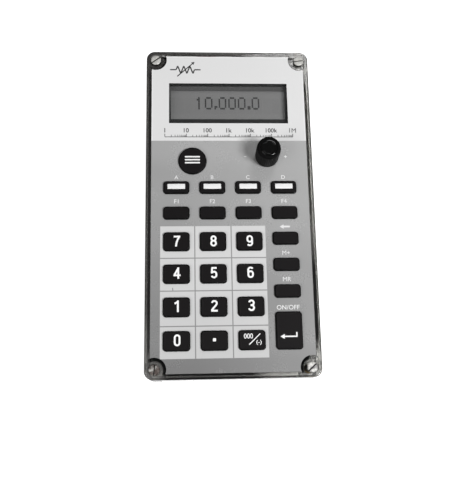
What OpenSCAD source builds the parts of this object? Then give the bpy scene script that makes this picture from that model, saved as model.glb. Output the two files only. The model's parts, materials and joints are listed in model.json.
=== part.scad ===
// Handheld resistance box. A keypad, a display and a setting knob sit in the face of a plastic
// case with a clear lid. Relays inside switch foil resistors between two binding posts on the
// display end of the base.
// Origin at the middle of the underside, +Y towards the display end, +Z out of the face.

/* [Case] */
// Width of the case across the keypad
case_w = 80; // [78:1:96]
// Length of the case from the keypad end to the display end
case_l = 160; // [158:1:190]
// Height of base and lid together
case_h = 55; // [50:1:80]
// Height of the clear lid
lid_h = 18; // [16:0.5:24]
// Thickness of the lid's side walls
wall_t = 2.5; // [2:0.1:3]
// Thickness of the base's side walls at their rim
base_wall_t = 3.2; // [2.8:0.1:3.6]
// Lean of the base's side walls, in at the foot
draft = 1.5; // [0.5:0.1:1.8]
// Thickness of the floor of the base
floor_t = 2.5; // [2:0.1:4]
// Thickness of the lid under the face plate
lid_top_t = 2.5; // [2:0.1:3.5]
// Radius of the upright corners
corner_r = 4; // [3:0.5:5]
// Rounding of the top edge of the lid and of the foot of the base
edge_r = 1.2; // [0.6:0.1:1.5]
// Width of the gasket between base and lid
gasket_w = 1.2; // [0.8:0.1:1.4]
// Depth of the groove that holds the gasket
gasket_d = 1.4; // [1:0.1:2]

/* [Lid screws] */
// Distance of a screw from both edges of the case
screw_inset = 4.5; // [4.3:0.1:5]
// Diameter of the shank
screw_d = 3; // [2.5:0.1:3]
// Diameter of the slotted head
screw_head_d = 5; // [4.5:0.1:5.2]
// Height of the slotted head
screw_head_h = 2; // [1.6:0.1:2.2]
// Width of the slot
slot_w = 0.8; // [0.6:0.1:1.2]
// Depth of the slot
slot_d = 0.9; // [0.6:0.1:1.2]
// Outer diameter of the brass insert in the base
insert_d = 4.4; // [4:0.1:4.6]
// Length of the brass insert
insert_l = 7; // [5:0.5:8]
// Wall of plastic left between a screw pillar and the outside of the case
pillar_skin = 0.6; // [0.4:0.1:1]

/* [Face plate] */
// Thickness of the printed face plate
panel_t = 1; // [0.8:0.1:1.5]
// Width of the lid's rim round the face plate
rim_w = 2.6; // [2.3:0.1:3]
// Depth of the face plate below the rim
panel_sink = 0.2; // [0.1:0.1:0.5]
// Radius of the notches that leave the screws free
notch_r = 5.4; // [5:0.1:6]

/* [Display] */
// Width of the window in the face plate
window_w = 58; // [50:1:60]
// Height of the window in the face plate
window_h = 21; // [18:0.5:23]
// Distance of the window from the display end of the case
window_drop = 17; // [16:0.5:20]
// Dark border at the left and right of the viewing area
view_side = 0.8; // [0.5:0.1:2]
// Dark border above and below the viewing area
view_edge = 2.6; // [1.5:0.1:3]
// Distance of the viewing area above the middle of the window
view_lift = 0.5; // [0:0.1:1]
// Width of the metal frame round the viewing area
frame_w = 3.2; // [2.5:0.1:4]
// Height of the metal frame above its board
frame_h = 2.9; // [2.5:0.1:3]
// Lap of the glass behind the metal frame
glass_lap = 1.8; // [1:0.1:2.2]

/* [Keys] */
// Spacing of the key columns
key_pitch = 17; // [16:0.1:17.5]
// Distance of the outer key columns from the sides of the case
key_side = 14.5; // [14:0.1:16]
// Width of a key
key_w = 12; // [11:0.1:13]
// Height of the small keys
small_key_h = 6; // [5.5:0.1:7]
// Height of the number keys
number_key_h = 8.8; // [8:0.1:10]
// Height of the tall entry key
entry_key_h = 17; // [14:0.1:18]
// Diameter of the round key
round_key_d = 13.2; // [12:0.1:14]
// Radius of the key corners
key_r = 1.4; // [0.8:0.1:2]
// Rounding of the top edge of a key
key_edge = 0.5; // [0.3:0.1:0.8]
// Height of a key above the face plate
key_rise = 1.3; // [1:0.1:2]
// Gap round a key in its window
key_gap = 0.2; // [0.15:0.05:0.3]
// Width of the flange that keeps a key under the lid
flange_w = 1; // [0.6:0.1:1.2]
// Thickness of that flange
flange_t = 1; // [0.8:0.1:1.4]
// Diameter of the stem under a key
stem_d = 4; // [3:0.1:4.5]
// Distance from the window down to the row of keys with white bars
bar_row_drop = 32.8; // [32:0.1:36]
// Spacing of the rows of small keys
small_pitch = 12.5; // [11.5:0.1:13]
// Distance from the second row of small keys down to the first row of number keys
number_drop = 13.8; // [13:0.1:15]
// Spacing of the rows of number keys
number_pitch = 15.3; // [14:0.1:15.5]
// Distance of the last row of keys from the keypad end of the case
keypad_foot = 17; // [16:0.1:20]
// Width of the white bar in a key
bar_w = 8.3; // [6:0.1:9]
// Height of the white bar in a key
bar_h = 2.5; // [1.5:0.1:3]
// Thickness of the white bar
bar_t = 0.7; // [0.4:0.1:0.8]
// Distance of the white bar above the middle of its key
bar_lift = 0.3; // [0:0.1:0.6]

/* [Round key and knob] */
// Distance of the round key from the long axis of the case
round_key_x = 17.8; // [16:0.1:20]
// Distance from the window down to the round key
round_key_drop = 19.5; // [18:0.1:20]
// Distance of the knob from the long axis of the case
knob_x = 17.9; // [14:0.1:22]
// Distance from the window down to the knob
knob_drop = 17.3; // [16:0.1:20]
// Diameter of the knob
knob_d = 11.4; // [11:0.1:16]
// Height of the knob
knob_h = 11.6; // [10:0.1:15]
// Gap between the knob and the face plate
knob_gap = 0.8; // [0.5:0.1:1.5]
// Number of flutes in the grip of the knob
knob_flutes = 40; // [24:1:48]
// Depth of a flute
flute_d = 0.3; // [0.2:0.05:0.4]
// Diameter of the cap in the top of the knob
knob_cap_d = 8; // [7.4:0.1:9]
// Thickness of the cap
knob_cap_t = 1.2; // [0.8:0.1:1.6]
// Diameter of the collet in the knob
collet_d = 6.4; // [6:0.1:7]
// Diameter of the encoder shaft
shaft_d = 4; // [3:0.1:4]
// Diameter of the threaded bush of the encoder
bush_d = 6; // [5.5:0.1:6]
// Width across the flats of the encoder nut
bush_nut_af = 8; // [7.5:0.1:8.2]
// Thickness of the encoder nut
bush_nut_t = 1.8; // [1.5:0.1:2]
// Thickness of the washer under the nut
bush_washer_t = 0.5; // [0.3:0.1:0.6]
// Width of the square encoder body
encoder_w = 12; // [11:0.5:13]

/* [Boards] */
// Distance from the underside of the lid to the main board
board_drop = 6.5; // [6.2:0.1:8]
// Thickness of a circuit board
board_t = 1.6; // [1:0.1:2]
// Gap between the main board and the side walls
board_gap = 1; // [0.5:0.1:1.5]
// Diameter of the bosses that carry the main board
boss_d = 5; // [4.5:0.1:5.5]
// Shank diameter of the board screws
board_screw_d = 2.2; // [2:0.1:2.5]
// Distance of the end bosses from the ends of the main board
boss_inset_y = 3; // [2.8:0.1:3.5]
// Distance of the end bosses from the sides of the main board
boss_inset_x = 8; // [7:0.1:10]
// Distance from the window down to the middle bosses
boss_drop = 10.5; // [10:0.1:12]
// Diameter of the bosses that carry the display board
display_boss_d = 4.4; // [4:0.1:4.6]
// Head height of the board screws
board_head_h = 1.3; // [1:0.1:1.4]
// Thickness of the rubber sheet under the keys
mat_t = 1; // [0.8:0.1:1.4]
// Margin of the rubber sheet round the keys
mat_margin = 1.2; // [0.5:0.1:1.5]
// Height of a rubber dome above the sheet
dome_h = 2.2; // [1.8:0.1:2.6]
// Diameter of a rubber dome at its foot
dome_d = 5.8; // [5.4:0.1:6]
// Width of a relay
relay_w = 10; // [7:0.5:11]
// Length of a relay
relay_l = 20; // [15:0.5:21]
// Height of a relay
relay_h = 10.5; // [8:0.5:14]
// Spacing of the relays along the board
relay_pitch = 23; // [21:0.5:25]
// Distance of the relays from the sides of the main board
relay_inset = 12.5; // [11.5:0.5:15]
// Width of a foil resistor
foil_w = 7.6; // [6:0.1:9]
// Thickness of a foil resistor
foil_t = 2.7; // [2:0.1:3.5]
// Height of a foil resistor
foil_h = 8.3; // [6:0.1:10]
// Spacing of the foil resistors along the board
foil_pitch = 7; // [5:0.5:9]
// Distance of the foil resistors from the long axis of the case
foil_x = 9; // [7:0.5:11]
// Width of the controller chip
chip_w = 16; // [10:0.5:18]
// Thickness of the controller chip
chip_t = 2; // [1:0.1:3]
// Distance of the controller chip towards the keypad end
chip_drop = 28; // [22:1:34]

/* [Battery] */
// Width of the battery
battery_w = 26.5; // [25:0.5:28]
// Length of the battery
battery_l = 46.5; // [44:0.5:50]
// Thickness of the battery
battery_h = 17.5; // [15:0.5:19]
// Distance of the battery from the keypad end of the case
battery_inset = 25; // [15:1:35]
// Diameter of a battery stud
stud_snap_d = 7; // [5:0.5:8]
// Length of a battery stud
stud_snap_l = 2.6; // [2:0.1:3]
// Distance between the battery studs
snap_pitch = 12.7; // [11:0.1:14]
// Height of the ribs that hold the battery
rib_h = 9; // [6:0.5:14]
// Thickness of those ribs
rib_t = 1.6; // [1.2:0.1:2.5]
// Thickness of the clip on the battery studs
clip_t = 5; // [4:0.1:7]

/* [Binding posts] */
// Distance between the posts
post_pitch = 19; // [17:0.5:24]
// Height of the posts above the underside
post_z = 16.5; // [14:0.5:20]
// Diameter of the threaded post
post_d = 6; // [5.6:0.1:6.4]
// Diameter of the plug bore in the post
plug_d = 4; // [3.6:0.1:4.2]
// Depth of the plug bore
plug_l = 18; // [12:0.5:19]
// Diameter of the insulating bush outside the wall
sleeve_d = 13; // [12:0.5:15]
// Thickness of the insulating bush outside the wall
sleeve_t = 3; // [2:0.1:4]
// Diameter of the hole in the wall
sleeve_hole_d = 9; // [8.5:0.1:10]
// Diameter of the collar on the post
collar_d = 9.4; // [8:0.1:11]
// Thickness of the collar
collar_t = 1; // [0.8:0.1:1.5]
// Outer diameter of a post cap
cap_d = 11; // [10:0.1:13]
// Length of a post cap
cap_l = 10.8; // [10:0.1:13]
// Thickness of the clamp ring under a post cap
ring_t = 1.5; // [1:0.1:2]
// Diameter of the clamp ring
ring_d = 10; // [9:0.1:11]
// Thickness of the end of a post cap
cap_end_t = 1.5; // [1:0.1:2]
// Width across the flats of the post nuts
post_nut_af = 10; // [9:0.1:11]
// Thickness of the post nuts
post_nut_t = 3.5; // [3:0.1:5]
// Thickness of a solder lug
lug_t = 0.8; // [0.5:0.1:1]
// Width of a solder lug's tail
lug_w = 4; // [3:0.1:5]
// Height of a solder lug's tail above the post
lug_l = 10; // [9:0.5:14]
// Diameter of the hook-up wires
wire_d = 1.4; // [1:0.1:1.8]

/* [Hidden] */
$fn = 48;
// Clearance of a part that slides or lies in its seat
fit = 0.1;
// Radial clearance of a shaft in its hole
run = 0.05;
// Gap between the flange of a key and the lid, and between a stem and its dome
rest_gap = 0.15;
// Overshoot of a cut past the face it opens
over = 1;
// Least radius left on an inner corner
least_r = 0.6;

inner_w = case_w - 2 * wall_t;
inner_l = case_l - 2 * wall_t;
split_z = case_h - lid_h;
panel_z = case_h - panel_sink;
pocket_z = panel_z - panel_t;
under_z = pocket_z - lid_top_t;
seat_z = panel_z - screw_head_h;
board_z = under_z - board_drop;
panel_w = case_w - 2 * rim_w;
panel_l = case_l - 2 * rim_w;
pillar_r = screw_inset - pillar_skin;
screw_x = case_w / 2 - screw_inset;
screw_y = case_l / 2 - screw_inset;
// Rim left beside a screw head
seat_rim = screw_inset - screw_head_d / 2 - 2 * fit;
screw_tip_z = split_z - insert_l + over;
screw_dome = 0.35;
// Angle of each screw's slot, the two at the display end first
slot_turns = [52, 8, -42, 38];

// Rows and columns spread or close up with the case, and add up to its length and width
layout_l = window_drop + bar_row_drop + small_pitch + number_drop + 3 * number_pitch + keypad_foot;
row_fit = (case_l - window_h) / layout_l;
column_fit = case_w / (3 * key_pitch + 2 * key_side);
window_y = case_l / 2 - window_drop * row_fit - window_h / 2;
window_foot = window_y - window_h / 2;
view_w = window_w - 2 * view_side;
view_h = window_h - 2 * view_edge;
view_y = window_y + view_lift;
frame_z = under_z - rest_gap;
display_board_z = frame_z - frame_h;
display_board_w = view_w + 2 * frame_w + 2;
display_boss_x = display_board_w / 2 - display_boss_d / 2;
display_boss_y = view_h / 2 + frame_w + display_boss_d / 2 + 2 * fit;
display_board_h = 2 * display_boss_y + display_boss_d;
display_bosses = [for (sx = [-1, 1], sy = [-1, 1]) [sx * display_boss_x, view_y + sy * display_boss_y]];
frame_lip = 0.4;

column_pitch = key_pitch * column_fit;
small_row_pitch = small_pitch * row_fit;
number_row_pitch = number_pitch * row_fit;
bar_row_y = window_foot - bar_row_drop * row_fit;
plain_row_y = bar_row_y - small_row_pitch;
number_row_y = plain_row_y - number_drop * row_fit;
round_key_place = [-round_key_x * column_fit, window_foot - round_key_drop * row_fit];
knob_place = [knob_x * column_fit, window_foot - knob_drop * row_fit];
flange_z = under_z - rest_gap - flange_t;
dome_z = board_z + mat_t + dome_h;
stem_z = dome_z + rest_gap;

function column_x(i) = (i - 1.5) * column_pitch;
function number_y(row) = number_row_y - row * number_row_pitch;

entry_y = number_y(3) + (entry_key_h - number_key_h) / 2;
bar_key_names = ["key_a", "key_b", "key_c", "key_d"];
bar_names = ["bar_a", "bar_b", "bar_c", "bar_d"];
plain_key_names = ["key_f1", "key_f2", "key_f3", "key_f4"];
number_names = [
    ["key_7", "key_8", "key_9"],
    ["key_4", "key_5", "key_6"],
    ["key_1", "key_2", "key_3"],
    ["key_0", "key_point", "key_sign"]
];
side_names = ["key_back", "key_store", "key_recall"];

// Each key is its name, its place on the face and its size
bar_keys = [for (i = [0:3]) [bar_key_names[i], column_x(i), bar_row_y, key_w, small_key_h]];
plain_keys = [for (i = [0:3]) [plain_key_names[i], column_x(i), plain_row_y, key_w, small_key_h]];
number_keys = [for (row = [0:3], i = [0:2])
    [number_names[row][i], column_x(i), number_y(row), key_w, number_key_h]];
side_keys = [for (row = [0:2])
    [side_names[row], column_x(3), plain_row_y - (row + 1) * small_row_pitch, key_w, small_key_h]];
entry_keys = [["key_enter", column_x(3), entry_y, key_w, entry_key_h]];
blank_keys = concat(plain_keys, number_keys, side_keys, entry_keys);
keys = concat(bar_keys, blank_keys);

knob_z = panel_z + knob_gap;
knob_top_z = knob_z + knob_h;
bush_stub = 0.4;
bush_top_z = panel_z + bush_washer_t + bush_nut_t + bush_stub;
knob_hollow_z = bush_top_z + bush_stub;
knob_hollow_r = bush_nut_af / sqrt(3) + 2.5 * fit;
knob_shelf_z = knob_top_z - knob_cap_t;
knob_brow = 1;
collet_l = knob_shelf_z - knob_hollow_z - 5 * fit;
shaft_foot_z = board_z + board_drop / 2;
shaft_top_z = knob_shelf_z - over;

board_w = inner_w - 2 * board_gap;
board_l = inner_l - 2 * board_gap;
end_boss_x = board_w / 2 - boss_inset_x;
end_boss_y = board_l / 2 - boss_inset_y;
side_boss_x = board_w / 2 - boss_d / 2 - board_gap;
side_boss_y = window_foot - boss_drop;
bosses = concat(
    [for (sx = [-1, 1], sy = [-1, 1]) [sx * end_boss_x, sy * end_boss_y]],
    [for (sx = [-1, 1]) [sx * side_boss_x, side_boss_y]]);
parts_z = board_z - board_t;
boss_screw_l = board_drop - over;
display_screw_l = frame_h - 2 * fit;
mat_top_y = bar_row_y + small_key_h / 2 + flange_w + mat_margin;
mat_foot_y = max(number_y(3) - number_key_h / 2 - flange_w - mat_margin, (boss_d + over) / 2 - end_boss_y);
mat_half_w = 1.5 * column_pitch + key_w / 2 + flange_w + mat_margin;
mat_tab_w = round_key_d + 2 * flange_w;

battery_y = -case_l / 2 + battery_inset + battery_l / 2;
battery_end_y = battery_y + battery_l / 2;
battery_mid_z = floor_t + battery_h / 2;
battery_r = 1.5;
clip_wall = 2.5;
clip_w = snap_pitch + stud_snap_d + 2 * clip_wall;
clip_h = stud_snap_d + 2 * clip_wall;
clip_y = battery_end_y + fit + clip_t / 2;
foil_rows = 6;
foil_start_y = 12;

relay_x = board_w / 2 - relay_inset;

post_x = post_pitch / 2;
wall_y = case_l / 2;
collar_y = wall_y + sleeve_t;
ring_y = collar_y + collar_t + rest_gap;
cap_y = ring_y + ring_t + fit;
cap_tip_y = cap_y + cap_l;
post_tip_y = cap_tip_y - cap_end_t - 2 * fit;
post_pad_w = post_pitch + sleeve_d + 2 * over;
post_pad_h = sleeve_d + 2 * over;
lug_y = wall_y - base_wall_t - lug_t;
nut_y = lug_y - post_nut_t;
post_tail_y = nut_y - 2 * over;
lead_z = post_z + post_nut_af / 2 + over;
cap_flutes = 12;
cap_flute_r = 1;
cap_collar_l = 2;
cap_collar_d = cap_d + 1;

module rounded(w, l, r) {
    square([w - 2 * r, l], center = true);
    square([w, l - 2 * r], center = true);
    for (sx = [-1, 1], sy = [-1, 1])
        translate([sx * (w / 2 - r), sy * (l / 2 - r)]) circle(r);
}

module at_screws() {
    for (sx = [-1, 1], sy = [-1, 1])
        translate([sx * screw_x, sy * screw_y, 0]) children();
}

module at_posts() {
    for (sx = [-1, 1])
        translate([sx * post_x, 0, post_z]) children();
}

// A rod along +Y from one place on the long axis to another
module rod_y(d, from, to) {
    translate([0, from, 0]) rotate([-90, 0, 0]) cylinder(d = d, h = to - from);
}

module hex_y(af, from, to) {
    translate([0, from, 0]) rotate([-90, 0, 0]) cylinder(d = af / cos(30), h = to - from, $fn = 6);
}

// The block of base or lid, rounded at the edge of its foot, with sides that lean in towards the foot
module rounded_block(h, lean) {
    hull() {
        for (a = [0, 30, 60, 90]) {
            foot = edge_r * (1 - sin(a));
            inset = lean + edge_r * (1 - cos(a));
            translate([0, 0, foot]) linear_extrude(h - foot)
                rounded(case_w - 2 * inset, case_l - 2 * inset, max(corner_r - inset, least_r), $fn = 32);
        }
        if (lean > 0)
            translate([0, 0, h - run]) linear_extrude(run) rounded(case_w, case_l, corner_r, $fn = 32);
    }
}

module case_hollow(wall) {
    difference() {
        rounded(case_w - 2 * wall, case_l - 2 * wall, max(corner_r - wall, least_r));
        at_screws() circle(pillar_r);
    }
}

module gasket_ring(slack) {
    outer = (wall_t - gasket_w) / 2 + slack;
    inner = (wall_t + gasket_w) / 2 - slack;
    difference() {
        rounded(case_w - 2 * outer, case_l - 2 * outer, corner_r - outer);
        rounded(case_w - 2 * inner, case_l - 2 * inner, corner_r - inner);
    }
}

module case_base() {
    color([0.7, 0.71, 0.7]) difference() {
        union() {
            difference() {
                rounded_block(split_z, draft);
                translate([0, 0, floor_t]) linear_extrude(split_z) case_hollow(base_wall_t);
            }
            translate([0, battery_y, floor_t - fit]) linear_extrude(rib_h + fit) battery_rib();
            translate([0, wall_y, post_z]) rotate([90, 0, 0]) linear_extrude(base_wall_t - fit)
                rounded(post_pad_w, post_pad_h, corner_r);
        }
        translate([0, 0, split_z - gasket_d]) linear_extrude(gasket_d + over) gasket_ring(0);
        at_screws() translate([0, 0, split_z - insert_l - fit])
            cylinder(d = insert_d + 2 * run, h = insert_l + fit + over);
        at_posts() rod_y(sleeve_hole_d, wall_y - base_wall_t - over, wall_y + over);
    }
}

// Upright rib round the battery, open at the end where the clip sits
module battery_rib() {
    slot = [battery_w + 4 * fit, battery_l + 4 * fit];
    difference() {
        square([slot[0] + 2 * rib_t, slot[1] + 2 * rib_t], center = true);
        square(slot, center = true);
        translate([0, slot[1] / 2]) square([clip_w + 2 * over, 4 * rib_t], center = true);
    }
}

module key_windows(gap) {
    for (k = keys)
        translate([k[1], k[2]]) rounded(k[3] + 2 * gap, k[4] + 2 * gap, key_r + gap);
    translate(round_key_place) circle(d = round_key_d + 2 * gap);
    translate(knob_place) circle(d = bush_d + 4 * run);
}

module clear_lid() {
    color([0.8, 0.83, 0.84, 0.45]) difference() {
        union() {
            difference() {
                translate([0, 0, case_h]) mirror([0, 0, 1]) rounded_block(lid_h, 0);
                translate([0, 0, split_z - over]) linear_extrude(under_z - split_z + over)
                    case_hollow(wall_t);
            }
            for (b = bosses)
                translate([b[0], b[1], board_z]) cylinder(d = boss_d, h = board_drop + fit);
            for (b = display_bosses)
                translate([b[0], b[1], display_board_z])
                    cylinder(d = display_boss_d, h = under_z - display_board_z + fit);
        }
        translate([0, 0, pocket_z]) linear_extrude(panel_t + over)
            rounded(panel_w + 2 * fit, panel_l + 2 * fit, max(corner_r - rim_w, least_r));
        translate([0, 0, seat_z]) linear_extrude(screw_head_h + over) intersection() {
            at_screws() circle(notch_r);
            rounded(case_w - 2 * seat_rim, case_l - 2 * seat_rim, corner_r - seat_rim);
        }
        at_screws() translate([0, 0, split_z - over]) cylinder(d = screw_d + 2 * fit, h = lid_h + over);
        translate([0, 0, under_z - over]) linear_extrude(lid_top_t + 2 * over) key_windows(key_gap);
        for (b = bosses)
            translate([b[0], b[1], board_z - over])
                cylinder(d = board_screw_d + 2 * run, h = boss_screw_l + fit + over);
        for (b = display_bosses)
            translate([b[0], b[1], display_board_z - over])
                cylinder(d = board_screw_d + 2 * run, h = display_screw_l + fit + over);
    }
}

module lid_gasket() {
    color([0.08, 0.08, 0.08]) translate([0, 0, split_z - gasket_d])
        linear_extrude(gasket_d) gasket_ring(run);
}

module lid_screw(turn) {
    difference() {
        union() {
            translate([0, 0, screw_tip_z]) cylinder(d = screw_d, h = seat_z - screw_tip_z + fit);
            translate([0, 0, seat_z]) cylinder(d = screw_head_d, h = screw_head_h - screw_dome);
            translate([0, 0, panel_z - screw_dome])
                cylinder(d1 = screw_head_d, d2 = screw_head_d - 2 * screw_dome, h = screw_dome);
        }
        rotate([0, 0, turn]) translate([0, 0, panel_z - slot_d + (slot_d + over) / 2])
            cube([screw_head_d + over, slot_w, slot_d + over], center = true);
    }
}

module lid_screws() {
    color([0.75, 0.75, 0.73]) for (i = [0:3])
        translate([(i % 2 == 0 ? -1 : 1) * screw_x, (i < 2 ? 1 : -1) * screw_y, 0]) lid_screw(slot_turns[i]);
}

module thread_inserts() {
    color([0.8, 0.65, 0.3]) at_screws() translate([0, 0, split_z - insert_l]) difference() {
        cylinder(d = insert_d, h = insert_l);
        translate([0, 0, -over]) cylinder(d = screw_d + 2 * run, h = insert_l + 2 * over);
    }
}

module face_panel() {
    color([0.66, 0.67, 0.68]) translate([0, 0, pocket_z]) linear_extrude(panel_t) difference() {
        square([panel_w, panel_l], center = true);
        at_screws() circle(notch_r);
        translate([0, window_y]) square([window_w, window_h], center = true);
        key_windows(key_gap);
    }
}

module display_frame() {
    color([0.07, 0.07, 0.08]) translate([0, view_y, display_board_z]) difference() {
        linear_extrude(frame_h) square([view_w + 2 * frame_w, view_h + 2 * frame_w], center = true);
        translate([0, 0, -over]) linear_extrude(frame_h + 2 * over) square([view_w, view_h], center = true);
        translate([0, 0, -over]) linear_extrude(frame_h - frame_lip + over)
            square([view_w + 2 * glass_lap + 2 * fit, view_h + 2 * glass_lap + 2 * fit], center = true);
    }
}

module display_glass() {
    color([0.5, 0.52, 0.5]) translate([0, view_y, display_board_z])
        linear_extrude(frame_h - frame_lip - run)
            square([view_w + 2 * glass_lap, view_h + 2 * glass_lap], center = true);
}

module display_board() {
    color([0.1, 0.35, 0.2]) translate([0, 0, display_board_z - board_t])
        linear_extrude(board_t) difference() {
            translate([0, view_y]) square([display_board_w, display_board_h], center = true);
            for (b = display_bosses)
                translate(b) circle(d = board_screw_d + 2 * fit);
        }
}

module knob_body() {
    color([0.06, 0.06, 0.065]) translate(knob_place) difference() {
        union() {
            translate([0, 0, knob_z]) linear_extrude(knob_h - knob_brow) difference() {
                circle(d = knob_d);
                for (i = [0 : knob_flutes - 1])
                    rotate(i * 360 / knob_flutes) translate([knob_d / 2 + flute_d / 3, 0])
                        circle(flute_d * 4 / 3, $fn = 16);
            }
            translate([0, 0, knob_top_z - knob_brow])
                cylinder(d1 = knob_d - 2 * flute_d, d2 = knob_d - 2 * flute_d - knob_brow, h = knob_brow);
        }
        translate([0, 0, knob_z - over]) cylinder(r = knob_hollow_r, h = knob_hollow_z - knob_z + over);
        translate([0, 0, knob_z]) cylinder(d = collet_d + 2 * run, h = knob_h);
        translate([0, 0, knob_shelf_z]) cylinder(d = knob_cap_d + 2 * run, h = knob_cap_t + over);
    }
}

module knob_cap() {
    dish = knob_cap_t / 4;
    dish_d = knob_cap_d - 5 * dish;
    color([0.08, 0.08, 0.085]) translate([knob_place[0], knob_place[1], knob_shelf_z]) difference() {
        cylinder(d = knob_cap_d, h = knob_cap_t);
        translate([0, 0, knob_cap_t - dish])
            cylinder(d1 = dish_d - 4 * dish, d2 = dish_d + 4 * dish, h = 2 * dish);
    }
}

module knob_collet() {
    color([0.78, 0.63, 0.3]) translate([knob_place[0], knob_place[1], knob_hollow_z]) difference() {
        cylinder(d = collet_d, h = collet_l);
        translate([0, 0, -over]) cylinder(d = shaft_d + 2 * run, h = knob_h + 2 * over);
    }
}

module encoder_shaft() {
    color([0.75, 0.75, 0.74]) translate([knob_place[0], knob_place[1], shaft_foot_z])
        cylinder(d = shaft_d, h = shaft_top_z - shaft_foot_z);
}

module encoder_body() {
    color([0.3, 0.3, 0.32]) translate([knob_place[0], knob_place[1], board_z]) difference() {
        union() {
            linear_extrude(board_drop) square(encoder_w, center = true);
            cylinder(d = bush_d, h = bush_top_z - board_z);
        }
        translate([0, 0, shaft_foot_z - board_z - fit])
            cylinder(d = shaft_d + 2 * run, h = bush_top_z - board_z);
    }
}

module encoder_nut() {
    color([0.75, 0.75, 0.72]) translate([knob_place[0], knob_place[1], panel_z]) {
        difference() {
            cylinder(d = bush_nut_af + bush_stub, h = bush_washer_t);
            translate([0, 0, -over]) cylinder(d = bush_d + 2 * run, h = bush_washer_t + 2 * over);
        }
        translate([0, 0, bush_washer_t + run]) difference() {
            cylinder(d = bush_nut_af / cos(30), h = bush_nut_t, $fn = 6);
            translate([0, 0, -over]) cylinder(d = bush_d + 2 * run, h = bush_nut_t + 2 * over);
        }
    }
}

// Stem, flange and shank of a key up to the face plate, then the rounded crown
module key_cap(k) {
    crown_z = panel_z + key_edge / 2;
    translate([k[1], k[2], 0]) {
        translate([0, 0, stem_z]) cylinder(d = stem_d, h = flange_z - stem_z + fit);
        translate([0, 0, flange_z]) linear_extrude(flange_t)
            rounded(k[3] + 2 * flange_w, k[4] + 2 * flange_w, key_r);
        translate([0, 0, flange_z]) linear_extrude(crown_z - flange_z) rounded(k[3], k[4], key_r);
        translate([0, 0, crown_z]) hull() {
            for (a = [0, 45, 90]) {
                inset = key_edge * (1 - cos(a));
                linear_extrude(key_rise - key_edge * (1.5 - sin(a)))
                    rounded(k[3] - 2 * inset, k[4] - 2 * inset, key_r - inset, $fn = 16);
            }
        }
    }
}

module blank_key(k) {
    color([0.1, 0.1, 0.105]) key_cap(k);
}

module bar_key(k) {
    color([0.1, 0.1, 0.105]) difference() {
        key_cap(k);
        translate([k[1], k[2] + bar_lift, panel_z + key_rise - bar_t])
            linear_extrude(bar_t + over) square([bar_w + 2 * run, bar_h + 2 * run], center = true);
    }
}

module white_bar(k) {
    color([0.93, 0.93, 0.92]) translate([k[1], k[2] + bar_lift, panel_z + key_rise - bar_t])
        linear_extrude(bar_t + run) square([bar_w, bar_h], center = true);
}

module round_key() {
    r = round_key_d / 2;
    color([0.1, 0.1, 0.105]) translate(round_key_place) {
        translate([0, 0, stem_z]) cylinder(d = stem_d, h = flange_z - stem_z + fit);
        translate([0, 0, flange_z]) cylinder(r = r + flange_w, h = flange_t);
        translate([0, 0, flange_z]) cylinder(r = r, h = panel_z + key_rise - key_edge - flange_z);
        translate([0, 0, panel_z + key_rise - key_edge])
            cylinder(r1 = r, r2 = r - key_edge * 0.3, h = key_edge * 0.6);
        translate([0, 0, panel_z + key_rise - key_edge * 0.4])
            cylinder(r1 = r - key_edge * 0.3, r2 = r - key_edge, h = key_edge * 0.4);
    }
}

module at_domes() {
    for (k = keys)
        translate([k[1], k[2], 0]) children();
    translate(round_key_place) children();
}

module dome_mat() {
    tab_top = round_key_place[1] + mat_tab_w / 2;
    color([0.55, 0.55, 0.55]) translate([0, 0, board_z]) difference() {
        union() {
            linear_extrude(mat_t) union() {
                translate([-mat_half_w, mat_foot_y]) square([2 * mat_half_w, mat_top_y - mat_foot_y]);
                translate([round_key_place[0] - mat_tab_w / 2, mat_top_y - over])
                    square([mat_tab_w, tab_top - mat_top_y + over]);
            }
            at_domes() translate([0, 0, mat_t - fit]) cylinder(d1 = dome_d, d2 = stem_d, h = dome_h + fit);
        }
        at_domes() translate([0, 0, -over]) cylinder(d = stem_d, h = over + mat_t + dome_h / 3);
    }
}

module main_board() {
    color([0.08, 0.32, 0.18]) translate([0, 0, board_z - board_t]) linear_extrude(board_t) difference() {
        square([board_w, board_l], center = true);
        at_screws() circle(pillar_r + board_gap / 2);
        for (b = bosses)
            translate(b) circle(d = board_screw_d + 2 * fit);
    }
}

// A screw from below through a board whose underside is at z
module board_screw(place, z, grip) {
    translate([place[0], place[1], z]) {
        translate([0, 0, -board_head_h]) cylinder(d = 2 * board_screw_d, h = board_head_h);
        cylinder(d = board_screw_d, h = board_t + grip);
    }
}

module board_screws() {
    color([0.7, 0.7, 0.68]) {
        for (b = bosses)
            board_screw(b, parts_z, boss_screw_l);
        for (b = display_bosses)
            board_screw(b, display_board_z - board_t, display_screw_l);
    }
}

module relays() {
    color([0.9, 0.9, 0.88]) for (sx = [-1, 1], i = [-2:2])
        translate([sx * relay_x, i * relay_pitch, parts_z - relay_h / 2])
            cube([relay_w, relay_l, relay_h], center = true);
}

// Foil resistors in two rows and the controller chip, all soldered under the main board
module board_parts() {
    color([0.1, 0.2, 0.4]) {
        for (sx = [-1, 1], i = [0 : foil_rows - 1])
            translate([sx * foil_x, foil_start_y + i * foil_pitch, parts_z - foil_h / 2])
                cube([foil_w, foil_t, foil_h], center = true);
        translate([0, -chip_drop, parts_z - chip_t / 2]) cube([chip_w, chip_w, chip_t], center = true);
    }
}

module battery() {
    color([0.25, 0.27, 0.3]) {
        translate([0, battery_y, floor_t]) linear_extrude(battery_h) rounded(battery_w, battery_l, battery_r);
        for (sx = [-1, 1])
            translate([sx * snap_pitch / 2, 0, battery_mid_z])
                rod_y(stud_snap_d, battery_end_y - fit, battery_end_y + stud_snap_l);
    }
}

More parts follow.
